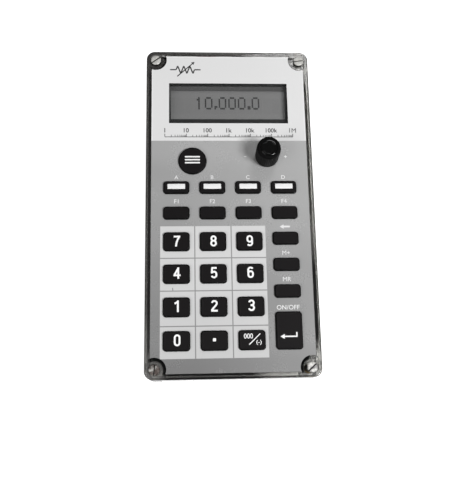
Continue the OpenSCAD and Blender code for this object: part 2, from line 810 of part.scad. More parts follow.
module battery_clip() {
    color([0.05, 0.05, 0.05]) difference() {
        translate([0, clip_y, battery_mid_z]) cube([clip_w, clip_t, clip_h], center = true);
        for (sx = [-1, 1])
            translate([sx * snap_pitch / 2, 0, battery_mid_z])
                rod_y(stud_snap_d + 2 * fit, battery_end_y - over, battery_end_y + stud_snap_l + 2 * fit);
    }
}

module hookup_wires() {
    clip_top_z = battery_mid_z + clip_h / 2;
    color([0.6, 0.1, 0.1]) {
        for (sx = [-1, 1])
            translate([sx * snap_pitch / 2, clip_y, clip_top_z])
                cylinder(d = wire_d, h = parts_z - clip_top_z);
        for (sx = [-1, 1])
            translate([sx * post_x, lug_y - wire_d / 2 - run, lead_z])
                cylinder(d = wire_d, h = parts_z - lead_z);
    }
}

module post_sleeves() {
    color([0.07, 0.07, 0.07]) at_posts() difference() {
        union() {
            rod_y(sleeve_d, wall_y, wall_y + sleeve_t);
            rod_y(sleeve_hole_d - 2 * run, wall_y - base_wall_t, wall_y + fit);
        }
        rod_y(post_d + 2 * run, wall_y - base_wall_t - over, wall_y + sleeve_t + over);
    }
}

module post_studs() {
    color([0.8, 0.78, 0.7]) at_posts() difference() {
        union() {
            rod_y(post_d, post_tail_y, post_tip_y);
            rod_y(collar_d, collar_y, collar_y + collar_t);
        }
        rod_y(plug_d, post_tip_y - plug_l, post_tip_y + over);
    }
}

module post_lugs() {
    color([0.78, 0.76, 0.7]) at_posts() difference() {
        union() {
            rod_y(post_nut_af, lug_y, lug_y + lug_t);
            translate([-lug_w / 2, lug_y, 0]) cube([lug_w, lug_t, lug_l]);
        }
        rod_y(post_d + 2 * run, lug_y - over, lug_y + lug_t + over);
    }
}

module post_nuts() {
    color([0.75, 0.72, 0.6]) at_posts() difference() {
        hex_y(post_nut_af, nut_y, lug_y);
        rod_y(post_d + 2 * run, nut_y - over, lug_y + over);
    }
}

module clamp_ring(side) {
    color([0.8, 0.78, 0.7]) translate([side * post_x, 0, post_z]) difference() {
        rod_y(ring_d, ring_y, ring_y + ring_t);
        rod_y(post_d + 2 * run, ring_y - over, ring_y + ring_t + over);
    }
}

module post_cap(side) {
    translate([side * post_x, 0, post_z]) difference() {
        union() {
            rod_y(cap_collar_d, cap_y, cap_y + cap_collar_l);
            translate([0, cap_y, 0]) rotate([-90, 0, 0]) linear_extrude(cap_l) difference() {
                circle(d = cap_d);
                for (i = [0 : cap_flutes - 1])
                    rotate(i * 360 / cap_flutes) translate([cap_d / 2 + cap_flute_r / 2, 0])
                        circle(cap_flute_r);
            }
        }
        rod_y(post_d + 2 * run, cap_y - over, cap_tip_y - cap_end_t);
        rod_y(plug_d + 6 * fit, cap_y, cap_tip_y + over);
    }
}

module post_cap_red() {
    color([0.75, 0.06, 0.05]) post_cap(-1);
}

module post_cap_black() {
    color([0.05, 0.05, 0.05]) post_cap(1);
}

case_base();
clear_lid();
lid_gasket();
lid_screws();
thread_inserts();
face_panel();
display_frame();
display_glass();
display_board();
knob_body();
knob_cap();
knob_collet();
encoder_shaft();
encoder_body();
encoder_nut();
dome_mat();
main_board();
board_screws();
relays();
board_parts();
battery();
battery_clip();
hookup_wires();
post_sleeves();
post_studs();
post_lugs();
post_nuts();
clamp_ring(-1);  // clamp_ring_red
clamp_ring(1);  // clamp_ring_black
post_cap_red();
post_cap_black();
round_key();  // key_menu
for (k = blank_keys)
    blank_key(k);
for (k = bar_keys)
    bar_key(k);
for (i = [0:3])
    white_bar(bar_keys[i]);
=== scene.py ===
import json
import math
from functools import partialmethod

import bmesh
import bpy
from mathutils import Matrix, Vector


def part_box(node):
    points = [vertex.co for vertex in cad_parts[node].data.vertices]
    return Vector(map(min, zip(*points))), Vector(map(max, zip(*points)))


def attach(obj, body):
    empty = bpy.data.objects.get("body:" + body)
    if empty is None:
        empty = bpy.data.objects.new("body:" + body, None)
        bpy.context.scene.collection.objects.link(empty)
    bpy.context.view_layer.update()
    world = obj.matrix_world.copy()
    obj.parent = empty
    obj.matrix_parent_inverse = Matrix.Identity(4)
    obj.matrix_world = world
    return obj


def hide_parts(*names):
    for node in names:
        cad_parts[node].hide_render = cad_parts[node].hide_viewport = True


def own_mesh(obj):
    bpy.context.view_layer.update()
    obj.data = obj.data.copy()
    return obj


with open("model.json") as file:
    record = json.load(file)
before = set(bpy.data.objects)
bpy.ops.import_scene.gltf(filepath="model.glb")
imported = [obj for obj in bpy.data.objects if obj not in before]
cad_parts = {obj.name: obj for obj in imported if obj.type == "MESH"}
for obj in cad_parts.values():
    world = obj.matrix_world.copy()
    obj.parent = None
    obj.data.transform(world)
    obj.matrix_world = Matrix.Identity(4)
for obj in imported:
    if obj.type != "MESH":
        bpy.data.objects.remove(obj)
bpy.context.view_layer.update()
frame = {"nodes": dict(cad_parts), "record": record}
nodes = frame["nodes"]
mm = 0.001
print("frame loaded,", len(nodes), "nodes")

# Places that several pieces share, in millimetres
halfWide, halfLong = 40, 80
screwX, screwY = 35.5, 75.5
screwPlaces = [(x * screwX, y * screwY) for y in (1, -1) for x in (-1, 1)]
postX, postZ = 9.5, 16.5
keyNodes = [name for name in nodes if name.startswith("key_")]
rowKeys = [name for name in keyNodes if name != "key_menu"]
keyFlange = 1


class Settings(dict):
    # a dictionary whose values are read by name
    __getattr__ = dict.__getitem__


def boxOf(node):
    return [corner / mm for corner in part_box(node)]


def middleOf(node):
    low, high = boxOf(node)
    return (low + high) / 2


# Materials

class Wire:
    # a value in a node tree: maths on it adds Math nodes
    def __init__(self, tree, socket):
        self.tree = tree
        self.socket = socket

    def math(self, operation, *others):
        return self.tree.node("ShaderNodeMath", {"operation": operation}, dict(enumerate((self, *others))))

    __add__ = __radd__ = partialmethod(math, "ADD")
    __sub__ = partialmethod(math, "SUBTRACT")
    __mul__ = __rmul__ = partialmethod(math, "MULTIPLY")
    __pow__ = partialmethod(math, "POWER")
    __abs__ = partialmethod(math, "ABSOLUTE")
    __or__ = partialmethod(math, "MAXIMUM")
    fold = partialmethod(math, "PINGPONG")

    def __rsub__(self, other):
        return self.math("MULTIPLY_ADD", -1, other)


def paint(level):
    # a grey or colour as a screen shows it, 0 to 255, turned into what a shader takes; a wire stays as it is
    if isinstance(level, Wire):
        return level
    parts = [part / 255 for part in (level if isinstance(level, tuple) else (level,) * 3)]
    return (*(part / 12.92 if part <= 0.04045 else ((part + 0.055) / 1.055) ** 2.4 for part in parts), 1)


class Tree:
    # a node tree, with the one way to add a node to it
    def __init__(self, tree):
        self.tree = tree

    def give(self, socket, value):
        if isinstance(value, Wire):
            self.tree.links.new(value.socket, socket)
        else:
            socket.default_value = value

    def node(self, kind, settings=None, sockets=None, out=0):
        made = self.tree.nodes.new(kind)
        for name, value in (settings or {}).items():
            setattr(made, name, value)
        for name, value in (sockets or {}).items():
            self.give(made.inputs[name], value)
        return Wire(self, made.outputs[out])


class Finish(Tree):
    # one material, with its Principled shader and the few nodes that the finishes share
    def __init__(self, name, **fixed):
        self.material = bpy.data.materials.new(name)
        self.material.use_nodes = True
        super().__init__(self.material.node_tree)
        self.shader = self.tree.nodes["Principled BSDF"]
        self.surface = Wire(self, self.shader.outputs[0])
        self.place = self.node("ShaderNodeTexCoord", out="Object")
        self.feed(**fixed)

    def feed(self, **sockets):
        for name, value in sockets.items():
            self.give(self.shader.inputs[name.replace("_", " ")], value)
        return self.material

    def noise(self, scale, detail=2, roughness=0.5, stretch=None):
        # noise about its own middle, so that it runs from about -0.5 to 0.5
        place = self.place
        if stretch:
            place = self.node("ShaderNodeMapping", None, {"Vector": place, "Scale": stretch})
        sockets = {"Vector": place, "Scale": scale, "Detail": detail, "Roughness": roughness}
        return self.node("ShaderNodeTexNoise", {"noise_dimensions": "3D"}, sockets) - 0.5

    def part(self, vector, name):
        return self.node("ShaderNodeSeparateXYZ", None, {0: vector}, out=name)

    def axes(self, names="XYZ"):
        # Object coordinates in millimetres
        return [self.part(self.place, name) * (1 / mm) for name in names]

    def rise(self, value, low, high):
        # 0 below low, 1 above high, smooth between; it falls where low is the larger
        sockets = {"Value": value, "From Min": low, "From Max": high}
        return self.node("ShaderNodeMapRange", {"interpolation_type": "SMOOTHSTEP"}, sockets)

    def blend(self, amount, first, second, kind="MIX"):
        sockets = {0: amount, 6: paint(first), 7: paint(second)}
        return self.node("ShaderNodeMix", {"data_type": "RGBA", "blend_type": kind}, sockets, out=2)

    def grey(self, level):
        return self.node("ShaderNodeCombineColor", None, {0: level, 1: level, 2: level})

    def shade(self, colour, amount):
        # a colour made lighter or darker by a value round 0
        return self.blend(1, colour, self.grey(amount + 1), "MULTIPLY")

    def bump(self, height, distance, strength=1):
        return self.node("ShaderNodeBump", None, {"Height": height, "Distance": distance * mm, "Strength": strength})

    def shadeLayer(self, amount, colour, roughness):
        # a dull layer over part of the surface, which carries painted light and painted shade
        sockets = {"Base Color": colour, "Roughness": roughness, "Specular IOR Level": 0.1}
        dull = self.node("ShaderNodeBsdfPrincipled", None, sockets)
        self.surface = self.node("ShaderNodeMixShader", None, {0: amount, 1: self.surface, 2: dull})

    def passLight(self, level):
        # light goes through the clear walls to what they cover
        through = self.node("ShaderNodeBsdfTransparent", None, {"Color": paint(level)})
        shadow = self.node("ShaderNodeLightPath", out="Is Shadow Ray")
        mixed = self.node("ShaderNodeMixShader", None, {0: shadow, 1: self.surface, 2: through})
        self.give(self.tree.nodes["Material Output"].inputs["Surface"], mixed)
        return self.material


plasticTone = Settings(dust=150, worn=120, rubbed=105)


def mouldedPlastic(name, colour, roughness, grain=0.02, grainScale=2500, mottle=0.12, dust=0.25,
                   wear=0.0, rub=0.0, leanShadeTone=None, **fixed):
    # plastic with a moulded grain, uneven sheen, a little dust and paler worn edges; where asked, faces that lean are
    # painted darker as shade
    finish = Finish(name, **fixed)
    rise, blend = finish.rise, finish.blend
    cloud = finish.noise(45, 3)
    fine = finish.noise(grainScale)
    specks = rise(finish.noise(1400, 3), 0.2, 0.3)
    tone = finish.shade(colour, cloud * mottle + fine * mottle * 0.5)
    tone = blend(specks * dust * 0.3, tone, plasticTone.dust)
    if wear:
        corner = finish.node("ShaderNodeNewGeometry", out="Pointiness")
        edge = rise(corner + finish.noise(900, 3) * 0.06, 0.53, 0.6)
        tone = blend(edge * wear, tone, plasticTone.worn)
    if rub:
        # faces that lean, as the rounded edges of a key do: painted darker as shade, and rubbed in patches
        lean = finish.part(finish.node("ShaderNodeNewGeometry", out="Normal"), "Z")
        tone = blend(rise(lean, 0.99, 0.93), tone, leanShadeTone)
        edge = rise(lean, 0.5, 0.7) * rise(lean, 0.97, 0.88) * rise(finish.noise(450, 3), 0.0, 0.2)
        tone = blend(edge * rub, tone, plasticTone.rubbed)
    sheen = roughness + cloud * 0.12 + specks * 0.15 + fine * 0.08
    return finish.feed(Base_Color=tone, Roughness=sheen, Normal=finish.bump(fine, grain))


metalTone = Settings(tarnish=(112, 100, 86), dulled=96, rust=(66, 54, 49), dirt=(40, 37, 34))


def platedMetal(name, colour, roughness, scratch=0.18, tarnish=0.3, darkBelow=None, metallic=1):
    # bright metal with fine scratches and tarnish in patches, and painted shade below a height
    tones = metalTone
    finish = Finish(name, Metallic=metallic)
    rise, blend = finish.rise, finish.blend
    cloud = finish.noise(400, 4, 0.6)
    scratches = finish.noise(1800, stretch=(1, 9, 3))
    patches = rise(cloud, 0.0, 0.25)
    tone = blend(patches * tarnish, finish.shade(colour, scratches * scratch), tones.tarnish)
    sheen = roughness + patches * 0.2 + scratches * scratch
    if darkBelow:
        # of the four lid screws the lower right head is dull and the lower left one rusty; the slots and the sides of
        # all heads are painted dark as shade
        x, y, z = finish.axes()
        low = rise(y, -60, -70)
        dulled = rise(x, 20, 30) * low * rise(cloud, -0.15, 0.1)
        tone = blend(dulled * 0.8, tone, tones.dulled)
        rust = rise(x, -20, -30) * low * rise(cloud, -0.2, 0.1)
        tone = blend(rust * 0.95, tone, tones.rust)
        tone = blend(rise(z, darkBelow, darkBelow - 0.15), tone, tones.dirt)
    return finish.feed(Base_Color=tone, Roughness=sheen, Normal=finish.bump(scratches, 0.01))


# the lid's tones: the dark bands, black lines and grey layers on the rim paint its light and shade
lidTone = Settings(
    plastic=(229, 228, 226), grime=(24, 23, 22), shadeLayer=(68, 66, 65), cleanFilm=(164, 163, 161), footFilm=48, black=8,
    light=215, rimX=37.5, rimY=77.5)


def clearPlastic(name):
    # clear moulded plastic with smears and hair scratches; its rim and screw seats carry painted shade and painted
    # light, as dark bands, black lines and a dull grey layer, with some dirt at the joint to the face
    tones = lidTone
    finish = Finish(name, IOR=1.56, Transmission_Weight=1)
    rise, blend = finish.rise, finish.blend
    cloud = finish.noise(60, 3)
    hairs = rise(finish.noise(900, stretch=(1, 14, 4)), 0.17, 0.24)
    x, y, z = finish.axes()
    # the rim, with its joint to the face and its outer edge
    beyond = (abs(x) - tones.rimX) | (abs(y) - tones.rimY)
    rim = rise(beyond, -0.1, 0.1) * rise(z, 53.6, 54)
    joint = rim * rise(beyond, 1.3, 1.0)
    outer = rim * rise(beyond, 1.2, 1.9)
    # the four screw seats, and the inner side of their walls, which is painted dark as shadow
    across, up = abs(x) - screwX, abs(y) - screwY
    fromScrew = (across ** 2 + up ** 2) ** 0.5
    corner = rise(fromScrew, 9, 6)
    seat = rise(fromScrew, 5.6, 5.45) * rise(z, 54.9, 54.7)
    wall = seat * rise(fromScrew, 3.3, 4.3) * rise(across + up, 0.5, -2.5) * rise(x, 35, 33.6)
    # painted light at the right, most of all in the right corners, and a little in the lower left corner; painted shade
    # along the foot and on the floors of the right seats
    right = rise(x, 25, 34)
    low = rise(y, -70, -76)
    edged = right | low
    floor = seat * right * rise(x, 36, 34) * rise(y, -60, -70)
    paintedLight = rise(x, -25, 30) * (1 - rise(abs(y), 74, 66) * 0.5) * (1 - low) + rise(x, 8, 28) * low
    paintedLight = paintedLight | rise(y, -48, -68) * rise(x, -20, -34) * 0.42
    footShade = rim * low * rise(x, 22, 6) * rise(x, -38, -28)
    # dark bands of dirt and painted shade at the joint to the face, and of painted shade at the outer edge, less in the
    # corners and at the right; the foot, the seat walls and the right seat floors are painted dark as shade too
    grime = joint * (1 - corner * 0.8) * (right * 0.4 + 0.6) | outer * (1 - corner * 0.6) * (edged * 0.45 + 0.5)
    grime = grime | footShade * 0.93 | wall * 0.95 | floor * 0.75
    tone = blend(grime, finish.shade(tones.plastic, cloud * 0.08), tones.grime)
    sheen = 0.04 + rise(cloud, 0.0, 0.3) * 0.06 + hairs * 0.1
    finish.feed(Base_Color=tone, Roughness=sheen, Normal=finish.bump(cloud, 0.05, 0.4))
    # the dull layer's colour: painted shade, lighter where light is painted at the right and in the corners, darkest
    # along the foot
    dull = blend(footShade, blend(paintedLight, tones.shadeLayer, tones.cleanFilm), tones.footFilm)
    covered = rim * (1 - joint * (1 - corner) * (right * 0.25 + 0.75)) * (1 - outer * edged * 0.8)
    covered = (covered | seat * (1 - wall) * (1 - floor)) * (0.6 - paintedLight * 0.42)
    # black lines of painted shade: two along the foot, and one low on the right
    foot = footShade * (rise(beyond, 1.2, 0.8) | rise(beyond, 1.6, 1.9))
    side = rim * right * rise(beyond, 1.7, 1.4) * rise(y, 0, -32) * rise(y, -69, -62)
    black = (foot | side) * 0.98
    finish.shadeLayer(covered | black, blend(black, finish.shade(dull, cloud * 0.3), tones.black), 0.7)
    return finish.passLight(tones.light)


def displayPane(name):
    # the same plastic where the display is seen through it
    finish = Finish(name, IOR=1.5)
    tone = finish.shade((90, 92, 92), finish.noise(60, 3) * 0.3)
    hairs = finish.rise(finish.noise(700, 3), 0.16, 0.26)
    return finish.feed(Base_Color=tone, Roughness=0.06 + hairs * 0.2, Alpha=0.1 + hairs * 0.05)


faceInk = Settings(
    white=222, grey=187, silver=0.3, cell=207, line=142, scratch=70, speck=90, worn=250, under=26, fieldFoot=32.93,
    cellLeft=-33, cellRight=16.1, cellTop=-9.63, cellFoot=-70.86, columns=(-17, 0), rows=(-24.9, -40.2, -56.35),
    lineWidth=0.5, soft=0.06, edgeX=36.9, edgeY=76.9)


def printedFace(name):
    # white and grey fields, the pale cells of the keypad and thin lines between them, with painted shade towards the
    # foot and the left and on the plate's edges
    ink = faceInk
    finish = Finish(name, Specular_IOR_Level=0.4)
    rise, blend = finish.rise, finish.blend
    x, y, z = finish.axes()
    soft = ink.soft

    def band(value, low, high):
        return rise(value, low - soft, low + soft) * (1 - rise(value, high - soft, high + soft))

    top = rise(y, ink.fieldFoot - soft, ink.fieldFoot + soft)
    cells = band(x, ink.cellLeft, ink.cellRight) * band(y, ink.cellFoot, ink.cellTop)
    half = ink.lineWidth / 2
    lines = None
    for value, places in ((x, ink.columns), (y, ink.rows)):
        for at in places:
            line = band(value, at - half, at + half)
            lines = line if lines is None else lines | line
    grain = finish.noise(2600)
    cloud = finish.noise(40, 3)
    tone = blend(top, ink.grey, ink.white)
    tone = blend(cells, tone, ink.cell)
    tone = blend(cells * lines, tone, ink.line)
    # a short scratch over the key for 1
    scratch = band(x + y * 0.15, -33.3, -32.95) * band(y, -40, -38.7)
    tone = blend(scratch * 0.75, tone, ink.scratch)
    # painted shade: darker towards the foot and to the left, below the knob, where the light falls off; the cells
    # darker towards the foot too
    lightFalloff = rise(y, 8, -60) * 0.28 + rise(y, 28, 16) * rise(x, 34, -30) * 0.1 + rise(y, -62, -76) * 0.1
    paintedShade = (1 - cells) * lightFalloff + cells * rise(y, -25, -72) * 0.12
    tone = finish.shade(tone, cloud * 0.05 + grain * 0.02 - paintedShade)
    specks = rise(finish.noise(1100, 4), 0.24, 0.3)
    tone = blend(specks * 0.05, tone, ink.speck)
    edge = (abs(x) - ink.edgeX) | (abs(y) - ink.edgeY)
    tone = blend(rise(edge + finish.noise(300, 3) * 0.3, -0.1, 0.1) * top * 0.5, tone, ink.worn)
    # the plate's cut edges and its underside are painted dark as shade
    tone = blend(rise(z, 54.78, 54.7), tone, ink.under)
    silver = (1 - top) * (1 - cells) * ink.silver
    sheen = 0.42 + cloud * 0.1 + grain * 0.03 - silver * 0.5
    return finish.feed(Base_Color=tone, Roughness=sheen, Metallic=silver, Normal=finish.bump(grain, 0.0002))


displayTone = Settings(ground=136, cell=133, edge=112, shade=16, shadeTop=45.85, cellWide=4.3, cellHigh=8.4, gap=0.35)


def liquidCrystal(name):
    # grey display ground with its faint character cells, and painted shade near its top and foot edges
    tone = displayTone
    finish = Finish(name, Specular_IOR_Level=0.4)
    rise, blend = finish.rise, finish.blend
    x, y = finish.axes("XY")
    middle = middleOf("display_glass")
    cloud = finish.noise(50, 3)
    grain = finish.noise(3000)
    across, up = (x - middle.x).fold(tone.cellWide / 2), abs(y - middle.y)
    half = tone.cellHigh / 2
    inCell = rise(across, tone.gap / 2, tone.gap) * rise(up, half + 0.1, half)
    ground = blend(inCell, tone.ground, tone.cell)
    # painted shade near the top and foot edges of the glass, and a darker painted shade band along its foot
    ground = blend(rise(up, 6.2, 8.4) * 0.5, ground, tone.edge)
    ground = blend(1 - rise(y, tone.shadeTop - 0.1, tone.shadeTop + 0.1), ground, tone.shade)
    return finish.feed(Base_Color=finish.shade(ground, cloud * 0.08 + grain * 0.03), Roughness=0.3 + cloud * 0.1)


def framePaint(name):
    # black paint, with painted light growing towards the top of the display
    finish = Finish(name, Specular_IOR_Level=0.3)
    y, = finish.axes("Y")
    fine = finish.noise(3000)
    tone = finish.shade(finish.blend(finish.rise(y, 44, 62), 12, 90), fine * 0.3)
    return finish.feed(Base_Color=tone, Roughness=0.5 + fine * 0.1, Normal=finish.bump(fine, 0.01))


def boardMask(name):
    # green solder mask over copper tracks
    finish = Finish(name, Specular_IOR_Level=0.5)
    x, y = finish.axes("XY")
    cloud = finish.noise(300)
    across, up = (x + cloud * 3).fold(1.27), (y + cloud * 3).fold(2.54)
    tracks = finish.rise(across, 0.85, 0.95) * finish.rise(finish.noise(90), -0.05, 0.0) | finish.rise(up, 2.2, 2.3)
    tone = finish.shade(finish.blend(tracks, (14, 44, 32), (28, 74, 50)), cloud * 0.2)
    return finish.feed(Base_Color=tone, Roughness=0.35 + cloud * 0.15, Normal=finish.bump(tracks, 0.03))


def printInk(name, colour, roughness=0.45):
    # ink with a slightly patchy cover
    finish = Finish(name, Specular_IOR_Level=0.3)
    cover = finish.noise(3500, 3)
    return finish.feed(Base_Color=finish.shade(colour, cover * 0.12), Roughness=roughness + cover * 0.15)


finishes = dict(
    case_plastic=mouldedPlastic("caseGrain", (188, 189, 186), 0.5, grain=0.05, grainScale=1500, mottle=0.06, dust=0.15),
    clear_plastic=clearPlastic("clearLid"),
    gasket_rubber=mouldedPlastic("gasketRubber", 28, 0.7, grainScale=1800),
    screw_nickel=platedMetal("screwNickel", (208, 207, 203), 0.48, scratch=0.12, tarnish=0.2,
                             darkBelow=54.5, metallic=0.55),
    brass=platedMetal("turnedBrass", (150, 128, 84), 0.35),
    face_print=printedFace("printedFace"),
    frame_black=framePaint("frameBlack"),
    display_grey=liquidCrystal("liquidCrystal"),
    board_green=boardMask("boardMask"),
    knob_black=mouldedPlastic("knobBlack", 9, 0.55, mottle=0.2, dust=0.1, Specular_IOR_Level=0.06),
    shaft_steel=platedMetal("groundSteel", (196, 196, 194), 0.28),
    # the rounded edges of the keys are painted darker as shade
    key_black=mouldedPlastic("keyBlack", (21, 19, 20), 0.5, dust=0.08, rub=0.08, leanShadeTone=4, Specular_IOR_Level=0.1),
    bar_white=mouldedPlastic("barWhite", 235, 0.4, mottle=0.04, dust=0.1),
    mat_silicone=mouldedPlastic("matSilicone", 150, 0.65),
    relay_white=mouldedPlastic("relayShell", 222, 0.4, mottle=0.06),
    part_epoxy=mouldedPlastic("partEpoxy", (38, 66, 120), 0.4),
    battery_can=platedMetal("batteryWrap", (96, 100, 108), 0.4),
    clip_black=mouldedPlastic("clipBlack", 30, 0.5),
    wire_red=mouldedPlastic("wireJacket", (152, 34, 28), 0.5),
    post_nickel=platedMetal("postNickel", (210, 205, 192), 0.25),
    sleeve_black=mouldedPlastic("sleeveBlack", 32, 0.45),
    cap_red=mouldedPlastic("capRed", (170, 26, 22), 0.32, wear=0.2),
    cap_black=mouldedPlastic("capBlack", 30, 0.34, wear=0.2),
)
legendWhite = printInk("legendWhite", 244)
labelPale = printInk("labelPale", 226)
printDark = printInk("printDark", 44)
crystalDark = printInk("crystalDark", 56, 0.3)
capGloss = mouldedPlastic("capGloss", 6, 0.08, grain=0.002, dust=0.05, Specular_IOR_Level=0.5)
pane = displayPane("displayPane")

for part in frame["record"]["subparts"]:
    for slot in nodes[part["node"]].material_slots:
        slot.material = finishes[part["material_slot"]]
print("finishes made,", len(finishes), "slots")


# Modelling steps shared by the pieces, all sizes in millimetres

weld = 0.000002  # metres


def begin(piece=None):
    # object mode, with nothing or just this piece selected
    if bpy.context.mode != "OBJECT":
        bpy.ops.object.mode_set(mode="OBJECT")
    bpy.ops.object.select_all(action="DESELECT")
    if piece:
        piece.select_set(True)
        bpy.context.view_layer.objects.active = piece


def edit(piece):
    begin(piece)
    bpy.ops.object.mode_set(mode="EDIT")


def pickAll():
    bpy.ops.mesh.select_all(action="SELECT")


def pick(kind, test):
    # in edit mode, selects only the faces, edges or vertices that pass the test
    bpy.ops.mesh.select_mode(type=kind)
    bpy.ops.mesh.select_all(action="DESELECT")
    mesh = bmesh.from_edit_mesh(bpy.context.object.data)
    for item in {"VERT": mesh.verts, "EDGE": mesh.edges, "FACE": mesh.faces}[kind]:
        if test(item):
            item.select_set(True)
    bmesh.update_edit_mesh(bpy.context.object.data)


def along(axis):
    # test for an edge that runs along an axis
    def test(edge):
        run = edge.verts[1].co - edge.verts[0].co
        return abs(run[axis]) > 0.99 * run.length
    return test


def level(axis, *heights):
    # test for an edge or face that lies flat at one of some heights on an axis
    def test(item):
        return any(all(abs(vert.co[axis] / mm - at) < 0.004 for vert in item.verts) for at in heights)
    return test


def inset(thickness):
    bpy.ops.mesh.inset(thickness=thickness * mm)


def extrude(x, y, z):
    bpy.ops.mesh.extrude_region_move(TRANSFORM_OT_translate={"value": (x * mm, y * mm, z * mm)})


def bevel(offset, segments=3):
    bpy.ops.mesh.bevel(offset=offset * mm, segments=segments, affect="EDGES")


def roundEdges(axis, at, radius, segments):
    # rounds the edges that lie at one height on an axis
    pick("EDGE", level(axis, at))
    bevel(radius, segments)


def spread(size, centre):
    # scales what is selected about a point
    bpy.ops.transform.resize(value=size, center_override=[part * mm for part in centre])


def placed(name, scale=(1, 1, 1)):
    # the piece just added, with its name and size, in edit mode
    piece = bpy.context.object
    piece.name = name
    piece.scale = scale
    bpy.ops.object.transform_apply()
    edit(piece)
    return piece


def block(name, low, high, corner=0, axis=2, segments=8):
    # a box between two corners, with the edges along one axis rounded; it is left in edit mode
    begin()
    low, high = Vector(low), Vector(high)
    bpy.ops.mesh.primitive_cube_add(size=1, location=(low + high) / 2 * mm)
    piece = placed(name, (high - low) * mm)
    if corner:
        pick("EDGE", along(axis))
        bevel(corner, segments)
    return piece


def rod(name, radius, low, high, centre, axis=2, sides=64):
    # a cylinder along Z or Y from low to high; it is left in edit mode
    begin()
    middle = [centre[0], centre[1]]
    middle.insert(axis, (low + high) / 2)
    bpy.ops.mesh.primitive_cylinder_add(
        vertices=sides, radius=radius * mm, depth=(high - low) * mm, location=Vector(middle) * mm,
        rotation=(math.pi / 2 if axis == 1 else 0, 0, 0))
    return placed(name)


def gather(pieces):
    # joins pieces into the first of them
    begin(pieces[0])
    for piece in pieces:
        piece.select_set(True)
    if len(pieces) > 1:
        bpy.ops.object.join()
    return bpy.context.object


def combine(piece, tools, operation):
    # joins or cuts a piece with one or more others, which are used up
    tool = gather(tools)
    begin(piece)
    change = piece.modifiers.new("combine", "BOOLEAN")
    change.operation, change.object, change.solver = operation, tool, "EXACT"
    bpy.ops.object.modifier_apply(modifier=change.name)
    bpy.data.meshes.remove(tool.data)


def fuse(piece, *tools):
    combine(piece, tools, "UNION")


def cut(piece, *tools):
    combine(piece, tools, "DIFFERENCE")


def copyTo(piece, name, x, y, turn=0):
    # a copy with its own mesh, turned about Z at the origin and then moved
    begin(piece)
    bpy.ops.object.duplicate()
    twin = bpy.context.object
    twin.name = name
    twin.rotation_euler = (0, 0, math.radians(turn))
    twin.location = Vector((x, y, 0)) * mm
    bpy.ops.object.transform_apply()
    return twin


def settle(piece, body, slot, *stands):
    # smooth faces, its finish, the body it moves with and the nodes it stands for
    begin(piece)
    bpy.ops.object.shade_smooth_by_angle(angle=math.radians(30))
    if not piece.data.materials:
        piece.data.materials.append(finishes[slot])
    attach(piece, body)
    if stands:
        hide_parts(*stands)


def cutFlutes(centre, axis, sides, count, radius, depths):
    # in edit mode, pulls columns of the outer vertices in, deepest in the middle of each flute
    other = 3 - axis
    period = sides // count
    middle = [centre[0], centre[1]]
    middle.insert(axis, 0)
    for step, depth in enumerate(depths):
        def inFlute(vert):
            across, up = vert.co.x / mm - centre[0], vert.co[other] / mm - centre[1]
            place = round(math.atan2(up, across) / (2 * math.pi / sides)) % period
            return min(place, period - place) == step and math.hypot(across, up) > radius - 0.02
        pick("VERT", inFlute)
        size = [(radius - depth) / radius] * 3
        size[axis] = 1
        spread(size, middle)


# Clear lid

# bosses: radius, the board that they stand on, and their places on both sides
lidSet = Settings(
    corner=4, edge=0.6, wall=2.5, rim=2.5, slab=2.5, pillar=3.9, screwHole=1.6, over=56, overlap=0.1,
    seat=5.4, seatFloor=52.8, seatRim=1.8, keyGap=0.2, keyCorner=1.6, bush=3.1,
    bosses=((2.5, "main_board", ((28.5, -73.5), (28.5, 73.5), (33, 31.5))),
            (2.2, "display_board", ((30.2, 39.5), (30.2, 66.5)))),
    windowLow=(-29, 42), windowHigh=(29, 63), paneGap=0.01, paneEdge=0.05)


def caseBlock(name, margin, foot, top, corner):
    # a block as wide and long as the case, less a margin all round
    wide, long = halfWide - margin, halfLong - margin
    return block(name, (-wide, -long, foot), (wide, long, top), corner)


def caseHollow(shape, foot, top):
    # the room inside base or lid, with its screw pillars left standing
    room = caseBlock("room", shape.wall, foot, top, shape.corner - shape.wall)
    cut(room, *[rod("pillar", shape.pillar, foot - 1, top + 1, place) for place in screwPlaces])
    return room


def screwSeat(place):
    # the round recess for a screw head, kept inside the rim
    shape = lidSet
    seat = rod("seat", shape.seat, shape.seatFloor, shape.over, place, sides=96)
    corner = []
    for axis, half in enumerate((halfWide, halfLong)):
        side = math.copysign(1, place[axis])
        corner.append(side * (half - shape.seatRim))
        reach, way = [0, 0, 0], [0, 0, 0]
        reach[axis], way[axis] = corner[axis] * mm, side
        pickAll()
        bpy.ops.mesh.bisect(plane_co=reach, plane_no=way, use_fill=True, clear_outer=True)
    pick("EDGE", lambda edge: level(0, corner[0])(edge) and level(1, corner[1])(edge))
    bevel(shape.corner - shape.seatRim, 6)
    return seat


